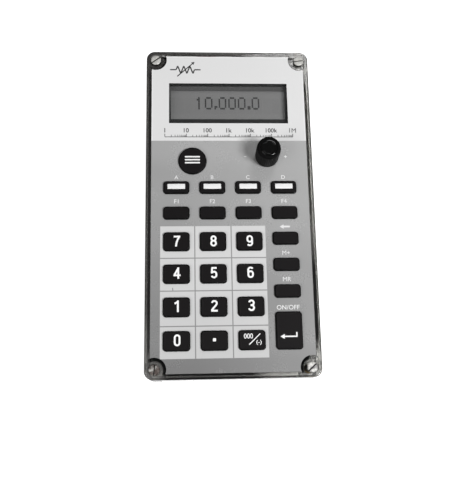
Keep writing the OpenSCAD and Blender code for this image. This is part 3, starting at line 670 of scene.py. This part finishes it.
def makeLid():
    shape = lidSet
    low, high = boxOf("clear_lid")
    pocket = boxOf("face_panel")[0].z
    ceiling = pocket - shape.slab
    under, over = ceiling - 1, shape.over
    lid = block("clearLid", low, high, shape.corner, segments=12)
    roundEdges(2, high.z, shape.edge, 5)
    pick("FACE", level(2, high.z))
    inset(shape.rim - shape.edge)
    extrude(0, 0, pocket - high.z)
    cut(lid, caseHollow(shape, low.z - 1, ceiling))
    bosses = []
    for radius, board, places in shape.bosses:
        foot = boxOf(board)[1].z
        bosses += [rod("boss", radius, foot, ceiling + shape.overlap, (side * x, y), sides=32)
                   for x, y in places for side in (-1, 1)]
    fuse(lid, *bosses)
    cuts = [screwSeat(place) for place in screwPlaces]
    cuts += [rod("hole", shape.screwHole, low.z - 1, shape.seatFloor + shape.overlap, place, sides=32)
             for place in screwPlaces]
    room = keyFlange - shape.keyGap
    for key in rowKeys:
        first, last = boxOf(key)
        cuts.append(block("window", (first.x + room, first.y + room, under), (last.x - room, last.y - room, over),
                          shape.keyCorner, segments=5))
    first, last = boxOf("key_menu")
    cuts.append(rod("window", (last.x - first.x) / 2 - room, under, over, middleOf("key_menu"), sides=96))
    cuts.append(rod("window", shape.bush, under, over, middleOf("knob_body"), sides=48))
    cuts.append(block("window", (*shape.windowLow, under), (*shape.windowHigh, over)))
    cut(lid, *cuts)
    lid.data.materials.append(finishes["clear_plastic"])
    gap = Vector((1, 1, 1)) * shape.paneGap
    clear = block("pane", Vector((*shape.windowLow, ceiling)) + gap, Vector((*shape.windowHigh, pocket)) - gap)
    roundEdges(2, pocket - shape.paneGap, shape.paneEdge, 1)
    begin(clear)
    clear.data.materials.append(pane)
    settle(gather([lid, clear]), "case", "clear_plastic", "clear_lid")


# Base of the case

baseSet = Settings(
    corner=4, draft=1.5, edge=1.2, wall=3.2, floor=2.5, pillar=3.9, insert=2.25, insertDepth=7.1, sink=0.03,
    grooveOut=0.65, grooveIn=1.85, grooveDepth=1.4, padWide=34, padHigh=15, padRoot=3, padCorner=4, padEdge=0.3,
    postHole=4.5, ribHigh=9, ribThick=1.6, ribWide=26.9, ribLong=46.9, ribMiddle=-31.75, overlap=0.1)


def makeBase():
    shape = baseSet
    low, high = boxOf("case_base")
    top = high.z - shape.sink
    base = block("caseBase", low, (high.x, high.y, top), shape.corner, segments=12)
    pick("FACE", level(2, 0))
    spread((1 - shape.draft / halfWide, 1 - shape.draft / halfLong, 1), (0, 0, 0))
    roundEdges(2, 0, shape.edge, 4)
    wide, tall = shape.padWide / 2, shape.padHigh / 2
    pad = block("pad", (-wide, halfLong - shape.padRoot, postZ - tall), (wide, halfLong, postZ + tall),
                shape.padCorner, axis=1)
    roundEdges(1, halfLong, shape.padEdge, 2)
    fuse(base, pad)
    cut(base, caseHollow(shape, shape.floor, top + 1))
    outer, inner = shape.grooveOut, shape.grooveIn
    ring = caseBlock("ring", outer, top - shape.grooveDepth, top + 1, shape.corner - outer)
    cut(ring, caseBlock("core", inner, top - 3, top + 3, shape.corner - inner))
    cut(base, ring)
    cuts = [rod("hole", shape.insert, top - shape.insertDepth, top + 1, place, sides=32) for place in screwPlaces]
    cuts += [rod("hole", shape.postHole, halfLong - 10, halfLong + 2, (side * postX, postZ), axis=1)
             for side in (-1, 1)]
    cut(base, *cuts)
    # a rib on three sides of the battery
    wide, long, thick = shape.ribWide / 2, shape.ribLong / 2, shape.ribThick
    near, far = shape.ribMiddle - long, shape.ribMiddle + long
    foot, head = shape.floor - shape.overlap, shape.floor + shape.ribHigh
    ribs = [block("rib", (-wide - thick, near - thick, foot), (wide + thick, near, head))]
    for left in (-wide - thick, wide):
        ribs.append(block("rib", (left, near - shape.overlap, foot), (left + thick, far, head)))
    fuse(base, ribs[0])
    fuse(base, *ribs[1:])
    settle(base, "case", "case_plastic", "case_base")


# Keys and their white bars

keySet = Settings(
    corner=1.4, edge=0.5, flangeTop=51.15, dishEdge=0.4, dish=0.06, hold=0.1, stem=2, stemRoot=0.5, barGap=0.05,
    barCorner=0.2, barEdge=0.12)


def keyShape(node):
    # flange under the lid, rounded shank through the face, a faint dish in the top and the stem below
    shape = keySet
    low, high = boxOf(node)
    flange = shape.flangeTop
    if node == "key_menu":
        key = rod("key", (high.x - low.x) / 2, flange - 1, flange, middleOf(node), sides=96)
    else:
        key = block("key", (low.x, low.y, flange - 1), (high.x, high.y, flange), shape.corner + keyFlange, segments=6)
    pick("FACE", level(2, flange))
    inset(keyFlange)
    extrude(0, 0, high.z - flange)
    roundEdges(2, high.z, shape.edge, 4)
    # the dish lies between flat borders, which keep its shading flat
    pick("FACE", level(2, high.z))
    inset(shape.hold)
    inset(shape.dishEdge)
    bpy.ops.transform.translate(value=(0, 0, -shape.dish * mm))
    inset(shape.hold)
    inset(shape.hold)
    fuse(key, rod("stem", shape.stem, low.z, flange - shape.stemRoot, middleOf(node), sides=32))
    return key


def makeKeys():
    shapes = {}
    for node in rowKeys:
        low, high = boxOf(node)
        name, bar = "keyCap" + node[4:].title(), node.replace("key_", "bar_")
        size = (round(high.x - low.x, 2), round(high.y - low.y, 2), bar in nodes)
        if size in shapes:
            first, middle = shapes[size]
            shift = middleOf(node) - middle
            key = copyTo(first, name, shift.x, shift.y)
        else:
            key = keyShape(node)
            key.name = name
            if bar in nodes:
                first, last = boxOf(bar)
                gap = Vector((keySet.barGap, keySet.barGap, 0))
                cut(key, block("pocket", first - gap, last + gap + Vector((0, 0, 1))))
            shapes[size] = (key, middleOf(node))
        settle(key, node, "key_black", node)
    for letter in "abcd":
        low, high = boxOf("bar_" + letter)
        bar = block("whiteBar" + letter.title(), low, high, keySet.barCorner, segments=3)
        roundEdges(2, high.z, keySet.barEdge, 2)
        settle(bar, "key_" + letter, "bar_white", "bar_" + letter)
    key = keyShape("key_menu")
    key.name = "roundKey"
    settle(key, "key_menu", "key_black", "key_menu")


# Rubber sheet under the keys, with a dome under each stem

matSet = Settings(
    thick=1, half=2.9, top=2.0, edge=0.35, hollow=2.0, hollowHigh=0.7, margin=1.2, corner=1.5, tabRoot=3, press=1,
    spare=0.03)


def makeMat():
    shape = matSet
    low, high = boxOf("dome_mat")
    base = low.z + shape.thick
    first, last = boxOf("key_menu")
    rowTop = max(boxOf(key)[1].y for key in rowKeys) + shape.margin
    sheet = block("keyMat", low, (high.x, rowTop, base), shape.corner)
    fuse(sheet, block("tab", (first.x, rowTop - shape.tabRoot, low.z), (last.x, high.y, base), shape.corner))
    centres = {key: middleOf(key) for key in keyNodes}
    cut(sheet, *[rod("hole", shape.hollow, low.z - 1, base + 1, at, sides=32) for at in centres.values()])
    settle(sheet, "case", "mat_silicone", "dome_mat")
    dome = rod("dome", shape.half, base, high.z, (0, 0), sides=48)
    pick("FACE", level(2, high.z))
    taper = shape.top / shape.half
    spread((taper, taper, 1), (0, 0, high.z))
    roundEdges(2, high.z, shape.edge, 3)
    cut(dome, rod("hollow", shape.hollow, base - 1, base + shape.hollowHigh, (0, 0), sides=48))
    for key, at in centres.items():
        under = copyTo(dome, "keyDome" + key[4:].title(), at.x, at.y)
        settle(under, "case", "mat_silicone")
        key + "_press"
        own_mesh(under)
    bpy.data.meshes.remove(dome.data)


# Knob and its cap

knobSet = Settings(
    sides=160, flutes=40, fluteDepths=(0.22, 0.12, 0), foot=0.1, crown=1, crownRoot=0.3, crownStep=0.04,
    crownEdge=0.45, seatGap=0.05, seatDepth=1.2, hollow=4.87, hollowTop=57.9, collet=3.25, capEdge=0.38, ring=0.35,
    dish=0.3, dishTaper=0.93, dishEdge=0.12)


def makeKnob():
    shape = knobSet
    low, high = boxOf("knob_body")
    middle = middleOf("knob_body")
    radius = (high.x - low.x) / 2
    shoulder = high.z - shape.crown
    knob = rod("knobGrip", radius, low.z, shoulder, middle, sides=shape.sides)
    cutFlutes(middle, 2, shape.sides, shape.flutes, radius, shape.fluteDepths)
    roundEdges(2, low.z, shape.foot, 1)
    crown = rod("crown", radius - shape.fluteDepths[0] - shape.crownStep, shoulder - shape.crownRoot, high.z,
                middle, sides=96)
    roundEdges(2, high.z, shape.crownEdge, 4)
    fuse(knob, crown)
    first, last = boxOf("knob_cap")
    capRadius = (last.x - first.x) / 2
    cut(knob, rod("seat", capRadius + shape.seatGap, high.z - shape.seatDepth, high.z + 1, middle, sides=96),
        rod("hollow", shape.hollow, low.z - 1, shape.hollowTop, middle, sides=64))
    cut(knob, rod("bore", shape.collet, low.z - 2, high.z + 2, middle, sides=48))
    settle(knob, "knob", "knob_black", "knob_body")
    cap = rod("knobCap", capRadius, first.z, last.z, middle, sides=96)
    roundEdges(2, last.z, shape.capEdge, 3)
    pick("FACE", level(2, last.z))
    inset(shape.ring)
    extrude(0, 0, -shape.dish)
    spread((shape.dishTaper, shape.dishTaper, 1), middle)
    dish = last.z - shape.dish
    roundEdges(2, dish, shape.dishEdge, 3)
    pick("FACE", level(2, dish))
    inset(shape.dishEdge)  # keeps the shading of the dish flat
    begin(cap)
    cap.data.materials.append(capGloss)
    settle(cap, "knob", "knob_black", "knob_cap")


# Lid screws

screwSet = Settings(
    head=2.5, headLow=52.8, shank=1.5, shankRoot=0.5, foot=31, edge=0.4, slotWide=0.6, slotDeep=0.9, slotLong=8,
    slotEdge=0.06, turns=(36, 8, 84, 42))


def makeScrews():
    shape = screwSet
    top = boxOf("lid_screws")[1].z
    screw = rod("screw", shape.head, shape.headLow, top, (0, 0), sides=64)
    roundEdges(2, top, shape.edge, 4)
    fuse(screw, rod("shank", shape.shank, shape.foot, shape.headLow + shape.shankRoot, (0, 0), sides=32))
    long, wide = shape.slotLong / 2, shape.slotWide / 2
    cut(screw, block("slot", (-long, -wide, top - shape.slotDeep), (long, wide, top + 1)))
    edit(screw)
    pick("EDGE", lambda edge: along(0)(edge) and level(2, top)(edge))
    bevel(shape.slotEdge, 1)
    copies = [copyTo(screw, "lidScrews", *place, turn) for place, turn in zip(screwPlaces, shape.turns)]
    bpy.data.meshes.remove(screw.data)
    settle(gather(copies), "case", "screw_nickel", "lid_screws")


# Binding posts

postSet = Settings(
    post=3.05, sleeveHole=4.45, sleeveRoot=0.5, sleeveEdge=0.5, capSides=96, capFlutes=12,
    fluteDepths=(0.5, 0.42, 0.18), grip=5.5, collar=6, collarLong=2, collarEdge=0.3, plug=2.3, end=1.5, edge=0.5,
    ringEdge=0.2)


def makePosts():
    shape = postSet
    for side, colour in ((-1, "red"), (1, "black")):
        centre = (side * postX, postZ)
        low, high = boxOf("post_cap_" + colour)
        cap = rod("postCap" + colour.title(), shape.grip, low.y, high.y, centre, 1, shape.capSides)
        cutFlutes(centre, 1, shape.capSides, shape.capFlutes, shape.grip, shape.fluteDepths)
        roundEdges(1, high.y, shape.edge, 3)
        shoulder = low.y + shape.collarLong
        collar = rod("collar", shape.collar, low.y, shoulder, centre, 1, 96)
        pick("EDGE", level(1, low.y, shoulder))
        bevel(shape.collarEdge, 2)
        fuse(cap, collar)
        cut(cap, rod("bore", shape.post, low.y - 1, high.y - shape.end, centre, 1))
        cut(cap, rod("plug", shape.plug, low.y, high.y + 1, centre, 1))
        settle(cap, "cap_" + colour, "cap_" + colour, "post_cap_" + colour)
        low, high = boxOf("clamp_ring_" + colour)
        ring = rod("clampRing" + colour.title(), (high.x - low.x) / 2, low.y, high.y, centre, 1, 96)
        pick("EDGE", level(1, low.y, high.y))
        bevel(shape.ringEdge, 2)
        cut(ring, rod("bore", shape.post, low.y - 1, high.y + 1, centre, 1))
        settle(ring, "ring_" + colour, "post_nickel", "clamp_ring_" + colour)
    low, high = boxOf("post_sleeves")
    sleeves = []
    for side in (-1, 1):
        centre = (side * postX, postZ)
        sleeve = rod("postSleeves", (high.z - low.z) / 2, halfLong, high.y, centre, 1, 96)
        roundEdges(1, high.y, shape.sleeveEdge, 3)
        fuse(sleeve, rod("shank", shape.sleeveHole, low.y, halfLong + shape.sleeveRoot, centre, 1))
        cut(sleeve, rod("bore", shape.post, low.y - 1, high.y + 1, centre, 1))
        sleeves.append(sleeve)
    settle(gather(sleeves), "case", "sleeve_black", "post_sleeves")


# Legends on the keys and print on the face; each mark is placed from a point on the surface under it

inkThick = 0.03


def inkAt(at, x, y):
    return (at + Vector((x, y, inkThick / 2))) * mm


def lettering(at, words, height, place, bold=0.0, width=None):
    # raised ink in the shape of a few characters, centred on a place
    begin()
    bpy.ops.object.text_add()
    text = bpy.context.object.data
    text.body, text.extrude, text.resolution_u = words, 0.01, 5
    text.offset = 0 if "M" in words else bold  # the sharp corners of an M cross when it is thickened
    bpy.ops.object.convert(target="MESH")
    piece = bpy.context.object
    low, high = [Vector(piece.bound_box[corner]) for corner in (0, 6)]
    tall = height * mm / (high.y - low.y)
    wide = width * mm / (high.x - low.x) if width else tall
    scale = Vector((wide, tall, inkThick * mm / (high.z - low.z)))
    piece.location = inkAt(at, *place) - (low + high) / 2 * scale
    placed("words", scale)
    pickAll()
    bpy.ops.mesh.remove_doubles(threshold=weld)
    begin(piece)
    return piece


def soften(piece, radius):
    # rounds the upright edges of a mark that is in edit mode
    pick("EDGE", along(2))
    bevel(radius, 2)
    begin(piece)
    return piece


def stroke(at, line, wide):
    # a straight stroke of ink between two points
    x0, y0, x1, y1 = line
    begin()
    bpy.ops.mesh.primitive_cube_add(size=1, location=inkAt(at, (x0 + x1) / 2, (y0 + y1) / 2),
                                    rotation=(0, 0, math.atan2(y1 - y0, x1 - x0)))
    return soften(placed("stroke", Vector((math.hypot(x1 - x0, y1 - y0), wide, inkThick)) * mm), wide * 0.2)


def arrowHead(at, x, y, radius, turn=0):
    # a three-sided point that looks left before it is turned
    begin()
    bpy.ops.mesh.primitive_cylinder_add(vertices=3, radius=radius * mm, depth=inkThick * mm,
                                        location=inkAt(at, x, y), rotation=(0, 0, math.radians(90 + turn)))
    return soften(placed("arrowHead"), radius * 0.08)


def pen(at, x, y, heading, steps, wide):
    # an even stroke along lines and arcs: a step is a length, or a radius and an angle to turn through
    begin()
    bpy.ops.mesh.primitive_plane_add(size=1, location=inkAt(at, x, y),
                                     rotation=(math.pi / 2, 0, math.radians(heading + 90)))
    piece = placed("pen", (wide * mm, inkThick * mm, 1))
    pickAll()
    for step in steps:
        if isinstance(step, tuple):
            radius, turn = step
            out = math.radians(heading - math.copysign(90, turn))  # from the centre of the arc to the stroke
            midX, midY = x - radius * math.cos(out), y - radius * math.sin(out)
            # with no window, spin turns the other way
            bpy.ops.mesh.spin(steps=max(3, round(abs(turn) / 12)), angle=-math.radians(turn),
                              center=((at.x + midX) * mm, (at.y + midY) * mm, 0), axis=(0, 0, 1))
            out += math.radians(turn)
            x, y, heading = midX + radius * math.cos(out), midY + radius * math.sin(out), heading + turn
        else:
            run = step * math.cos(math.radians(heading)), step * math.sin(math.radians(heading))
            extrude(*run, 0)
            x, y = x + run[0], y + run[1]
    pickAll()
    bpy.ops.mesh.remove_doubles(threshold=weld)
    bpy.ops.mesh.normals_make_consistent(inside=False)
    begin(piece)
    return piece


def merge(pieces):
    # one mark from strokes that cross
    for other in pieces[1:]:
        fuse(pieces[0], other)
    return pieces[0]


def printed(name, pieces, ink, body, slot):
    piece = gather(pieces)
    piece.name = name
    piece.data.materials.clear()
    piece.data.materials.append(ink)
    settle(piece, body, slot)


# words have their height, place, boldness and width, and lines their width
legendSet = Settings(
    pen=0.85, lift=0.33, columns=((-17, 0.3), (0, 0.2), (halfWide, 0.05)), point=((-0.725, 0.3, 0.725, 0.3), 1.45),
    noughts=("000", 2.3, (-1.7, 1.75), 0.012, 4.1), slash=((-1.4, -2.1, 3.7, 2.8), 0.42),
    minus=("(-)", 2.3, (3.0, -1.2), 0.016, 2.4), menuHalf=3.6, menuRows=(-1.2, 0.3, 1.8), menuWide=0.7,
    enter=((-2.6, -2.8, 3.6, -2.8), (3.3, -2.9, 3.3, -0.9)), enterWide=0.62, enterHead=(-2.9, -2.8, 1.3))


def loop(low, high, radius=1.07):
    # two halves of a closed loop, which overlap a little where they meet
    middle = (low + high) / 2
    side = high - radius - middle + 0.1
    steps = [side, (radius, 180), side]
    return [(radius, middle - 0.1, 90, steps), (-radius, middle + 0.1, 270, steps)]


# strokes of each digit: where one starts, its heading and its steps
digitPens = {
    "0": loop(-2.22, 2.22),
    "1": [(0.35, -2.65, 90, [5.3]), (-1.1, 1.2, 32, [1.6])],
    "2": [(-1.05, 1.37, 78, [(1.07, -208), 3.24]), (-1.5, -2.22, 0, [3.0])],
    "3": [(-1.03, 1.43, 75, [(1.07, -255), 0.4]), (-0.4, 0.08, 0, [0.4, (1.15, -255)])],
    "4": [(0.55, 2.65, 270, [5.3]), (-1.6, -1.05, 0, [3.2]), (0.55, 2.22, 240, [3.8])],
    "5": [(-1.2, 2.22, 0, [2.45]), (-1.0, -0.3, 86, [2.5]), (-0.93, -0.08, 60, [(1.07, -150), 0.53, (1.07, -165)])],
    "6": loop(-2.22, 0.5) + [(-1.07, -1.15, 90, [2.3, (1.07, -150)])],
    "7": [(-1.5, 2.22, 0, [3.0]), (1.15, 2.3, 236, [(9.75, 30)])],
    "8": loop(0.1, 2.22, 0.98) + loop(-2.22, 0.1, 1.1),
    "9": loop(-0.5, 2.22) + [(1.07, 1.15, 270, [2.3, (1.07, -150)])],
}


def keyTop(label):
    # the middle of a key's dish
    at = middleOf("key_" + label)
    at.z = boxOf("key_" + label)[1].z - keySet.dish
    return at


def legend(label, pieces):
    printed("legend" + label.title(), pieces, legendWhite, "key_" + label, "bar_white")


def makeLegends():
    shape = legendSet
    for node in rowKeys:
        label = node[4:]
        if label in digitPens:
            at = keyTop(label)
            shift = next(move for edge, move in shape.columns if at.x < edge)
            at += Vector((shift, 0 if label in "789" else shape.lift, 0))
            legend(label, [merge([pen(at, *line, shape.pen) for line in digitPens[label]])])
    legend("point", [stroke(keyTop("point"), *shape.point)])
    at = keyTop("sign")
    legend("sign", [lettering(at, *shape.noughts), stroke(at, *shape.slash), lettering(at, *shape.minus)])
    at, half = keyTop("menu"), shape.menuHalf
    legend("menu", [stroke(at, (-half, up, half, up), shape.menuWide) for up in shape.menuRows])
    at = keyTop("enter")
    marks = [stroke(at, line, shape.enterWide) for line in shape.enter]
    legend("enter", [merge(marks + [arrowHead(at, *shape.enterHead)])])


# rows: height of the letters, their rise over the key, and the words
labelSet = Settings(
    bold=0.008,
    rows=((1.9, 2.2, dict(a="A", b="B", c="C", d="D")), (2.0, 2.8, dict(f1="F1", f2="F2", f3="F3", f4="F4")),
          (2.0, 2.6, dict(store="M+", recall="MR")), (2.1, 2.1, dict(enter="ON/OFF"))),
    back=((-0.8, 0, 2.3, 0), 0.85), backHead=(-1.3, 0, 1.25), backRise=2.7,
    minus=((6.9, 24.8, 8.1, 24.8), 0.4), plus=((26.3, 24.8, 27.7, 24.8), (27, 24.1, 27, 25.5)), plusWide=0.4)


def makeLabels():
    # pale signs over the keys and beside the knob
    shape = labelSet
    face = Vector((0, 0, boxOf("face_panel")[1].z))

    def over(label, rise):
        return (middleOf("key_" + label).x, boxOf("key_" + label)[1].y - keyFlange + rise)

    marks = []
    for high, rise, row in shape.rows:
        marks += [lettering(face, words, high, over(label, rise), shape.bold) for label, words in row.items()]
    at = face + Vector((*over("back", shape.backRise), 0))
    marks.append(merge([stroke(at, *shape.back), arrowHead(at, *shape.backHead)]))
    marks.append(stroke(face, *shape.minus))
    marks.append(merge([stroke(face, line, shape.plusWide) for line in shape.plus]))
    printed("faceLabels", marks, labelPale, "case", "face_print")


scaleSet = Settings(
    left=-31, right=31, numbers=38.3, line=34.9, high=2.2, bold=0.012, tick=0.9, longTick=1.5, wide=0.3, tickWide=0.24,
    words=("1", "10", "100", "1k", "10k", "100k", "1M"))
signSet = Settings(
    y=70.3, start=(-28.5, -25.5), firstPeak=-24.75, pitch=1.5, peaks=(2, -2) * 3, end=(-16.5, -13.5), wide=0.6,
    arrow=((-25, -3.6, -17.6, 3.2), 0.5), head=(-17.2, 3.6, 1.0, 222))


def makeScale():
    # a row of plain decade numbers over a divided line, and the sign for a variable resistance
    shape, sign = scaleSet, signSet
    face = Vector((0, 0, boxOf("face_panel")[1].z))
    last = len(shape.words) - 1
    pitch = (shape.right - shape.left) / last
    foot = shape.line + shape.wide / 2
    marks = [stroke(face, (shape.left, shape.line, shape.right, shape.line), shape.wide)]
    for index, word in enumerate(shape.words):
        x = shape.left + index * pitch
        marks.append(lettering(face, word, shape.high, (x, shape.numbers), shape.bold))
        marks.append(stroke(face, (x, foot, x, foot + shape.longTick), shape.wide))
        for part in range(2, 10) if index < last else ():
            at = x + pitch * math.log10(part)
            marks.append(stroke(face, (at, foot, at, foot + shape.tick), shape.tickWide))
    at = face + Vector((0, sign.y, 0))
    points = [(x, 0) for x in sign.start]
    points += [(sign.firstPeak + sign.pitch * step, peak) for step, peak in enumerate(sign.peaks)]
    points += [(x, 0) for x in sign.end]
    lines = [stroke(at, (*first, *second), sign.wide) for first, second in zip(points, points[1:])]
    lines += [stroke(at, *sign.arrow), arrowHead(at, *sign.head)]
    printed("faceScale", marks + [merge(lines)], printDark, "case", "face_print")


# Characters on the display

displaySet = Settings(
    reading="10,000.0", left=-16.3, foot=51.0, dotWide=0.75, dotHigh=0.93, dotCorner=0.1, pitchX=0.77, pitchY=0.95,
    gap=0.92, pointGap=0.552, thick=0.02)
dotRows = {
    "0": "01110 10001 10001 10001 10001 10001 01110",
    "1": "00100 01100 00100 00100 00100 00100 00100",
    ",": "00 00 00 00 00 11 10",
    ".": "00 00 00 00 00 11 11",
}


def makeReading():
    # dot characters just over the glass
    shape = displaySet
    glass = boxOf("display_glass")[1].z
    size = Vector((shape.dotWide, shape.dotHigh, shape.thick))
    dots, x = [], shape.left
    for sign in shape.reading:
        rows = dotRows[sign].split()
        for up, row in enumerate(reversed(rows)):
            for across, dot in enumerate(row):
                if dot == "1":
                    low = Vector((x + across * shape.pitchX, shape.foot + up * shape.pitchY, glass))
                    dots.append(block("dot", low, low + size, shape.dotCorner, segments=1))
        x += len(rows[0]) * shape.pitchX + shape["pointGap" if sign in ",." else "gap"]
    printed("displayReading", dots, crystalDark, "case", "display_grey")


makeLid()
makeBase()
print("case modelled")
makeKeys()
makeMat()
print("keys modelled,", len(keyNodes))
makeKnob()
makeScrews()
makePosts()
print("knob, screws and posts modelled")
makeLegends()
makeLabels()
makeScale()
makeReading()
print("print and display laid on")


# Camera in millimetres, lights and floor in metres

cameraSet = Settings(
    place=(-16.92, -93.02, 371.86), lens=52.72, sensor=36, right=(0.99817, -0.0217, 0.05649),
    up=(0.00773, 0.97157, 0.23662), back=(-0.06002, -0.23575, 0.96996))


def addCamera():
    # the place and turn that the photo was taken from
    cam = cameraSet
    bpy.ops.object.camera_add()
    camera = bpy.context.object
    camera.name = "photoCamera"
    camera.data.lens = cam.lens
    camera.data.sensor_width = cam.sensor
    turn = Matrix((cam.right, cam.up, cam.back)).transposed().to_4x4()
    camera.matrix_world = Matrix.Translation(Vector(cam.place) * mm) @ turn
    bpy.context.scene.camera = camera


lightSet = dict(
    key=dict(place=(0.39, -0.22, 0.72), size=0.24, watts=5.5),
    fill=dict(place=(-0.5, -0.28, 0.6), size=0.45, watts=2.1),
    back=dict(place=(0.21, 0.56, 0.8), size=0.24, watts=0.9),
)
lightAim = Vector((0, 0, 0.05))
worldLevel = 0.1


def addLights():
    for name, lamp in lightSet.items():
        bpy.ops.object.light_add(type="AREA", location=lamp["place"])
        light = bpy.context.object
        light.name = name + "Light"
        light.data.size = lamp["size"]
        light.data.energy = lamp["watts"]
        light.rotation_euler = (lightAim - Vector(lamp["place"])).to_track_quat("-Z", "Y").to_euler()
    world = bpy.data.worlds.new("studio")
    bpy.context.scene.world = world
    world.use_nodes = True
    # white where it is looked at, dim as a light
    studio = Tree(world.node_tree)
    seen = studio.node("ShaderNodeLightPath", out="Is Camera Ray")
    backdrop = world.node_tree.nodes["Background"].inputs
    studio.give(backdrop["Strength"], seen * (1 - worldLevel) + worldLevel)
    studio.give(backdrop["Color"], paint(255))


floorSet = Settings(side=30, drop=0.0002, tone=190, lift=0.88)


def addFloor():
    # pale floor that still takes the shadow, lifted to white for what looks straight at it
    shape = floorSet
    bpy.ops.mesh.primitive_plane_add(size=shape.side, location=(0, 0, -shape.drop))
    floor = bpy.context.object
    floor.name = "floor"
    bpy.ops.object.transform_apply()
    finish = Finish("paleFloor", Roughness=0.9, Specular_IOR_Level=0.1, Emission_Strength=1)
    camera, glossy, clear = [finish.node("ShaderNodeLightPath", out=f"Is {ray} Ray")
                             for ray in ("Camera", "Glossy", "Transmission")]
    glow = finish.grey((camera | glossy | clear) * shape.lift)
    tone = finish.shade(shape.tone, finish.noise(40, 3) * 0.01)
    floor.data.materials.append(finish.feed(Base_Color=tone, Emission_Color=glow))


addCamera()
addLights()
addFloor()
print("camera, lights and floor set")

bpy.context.scene.view_settings.view_transform = "Standard"
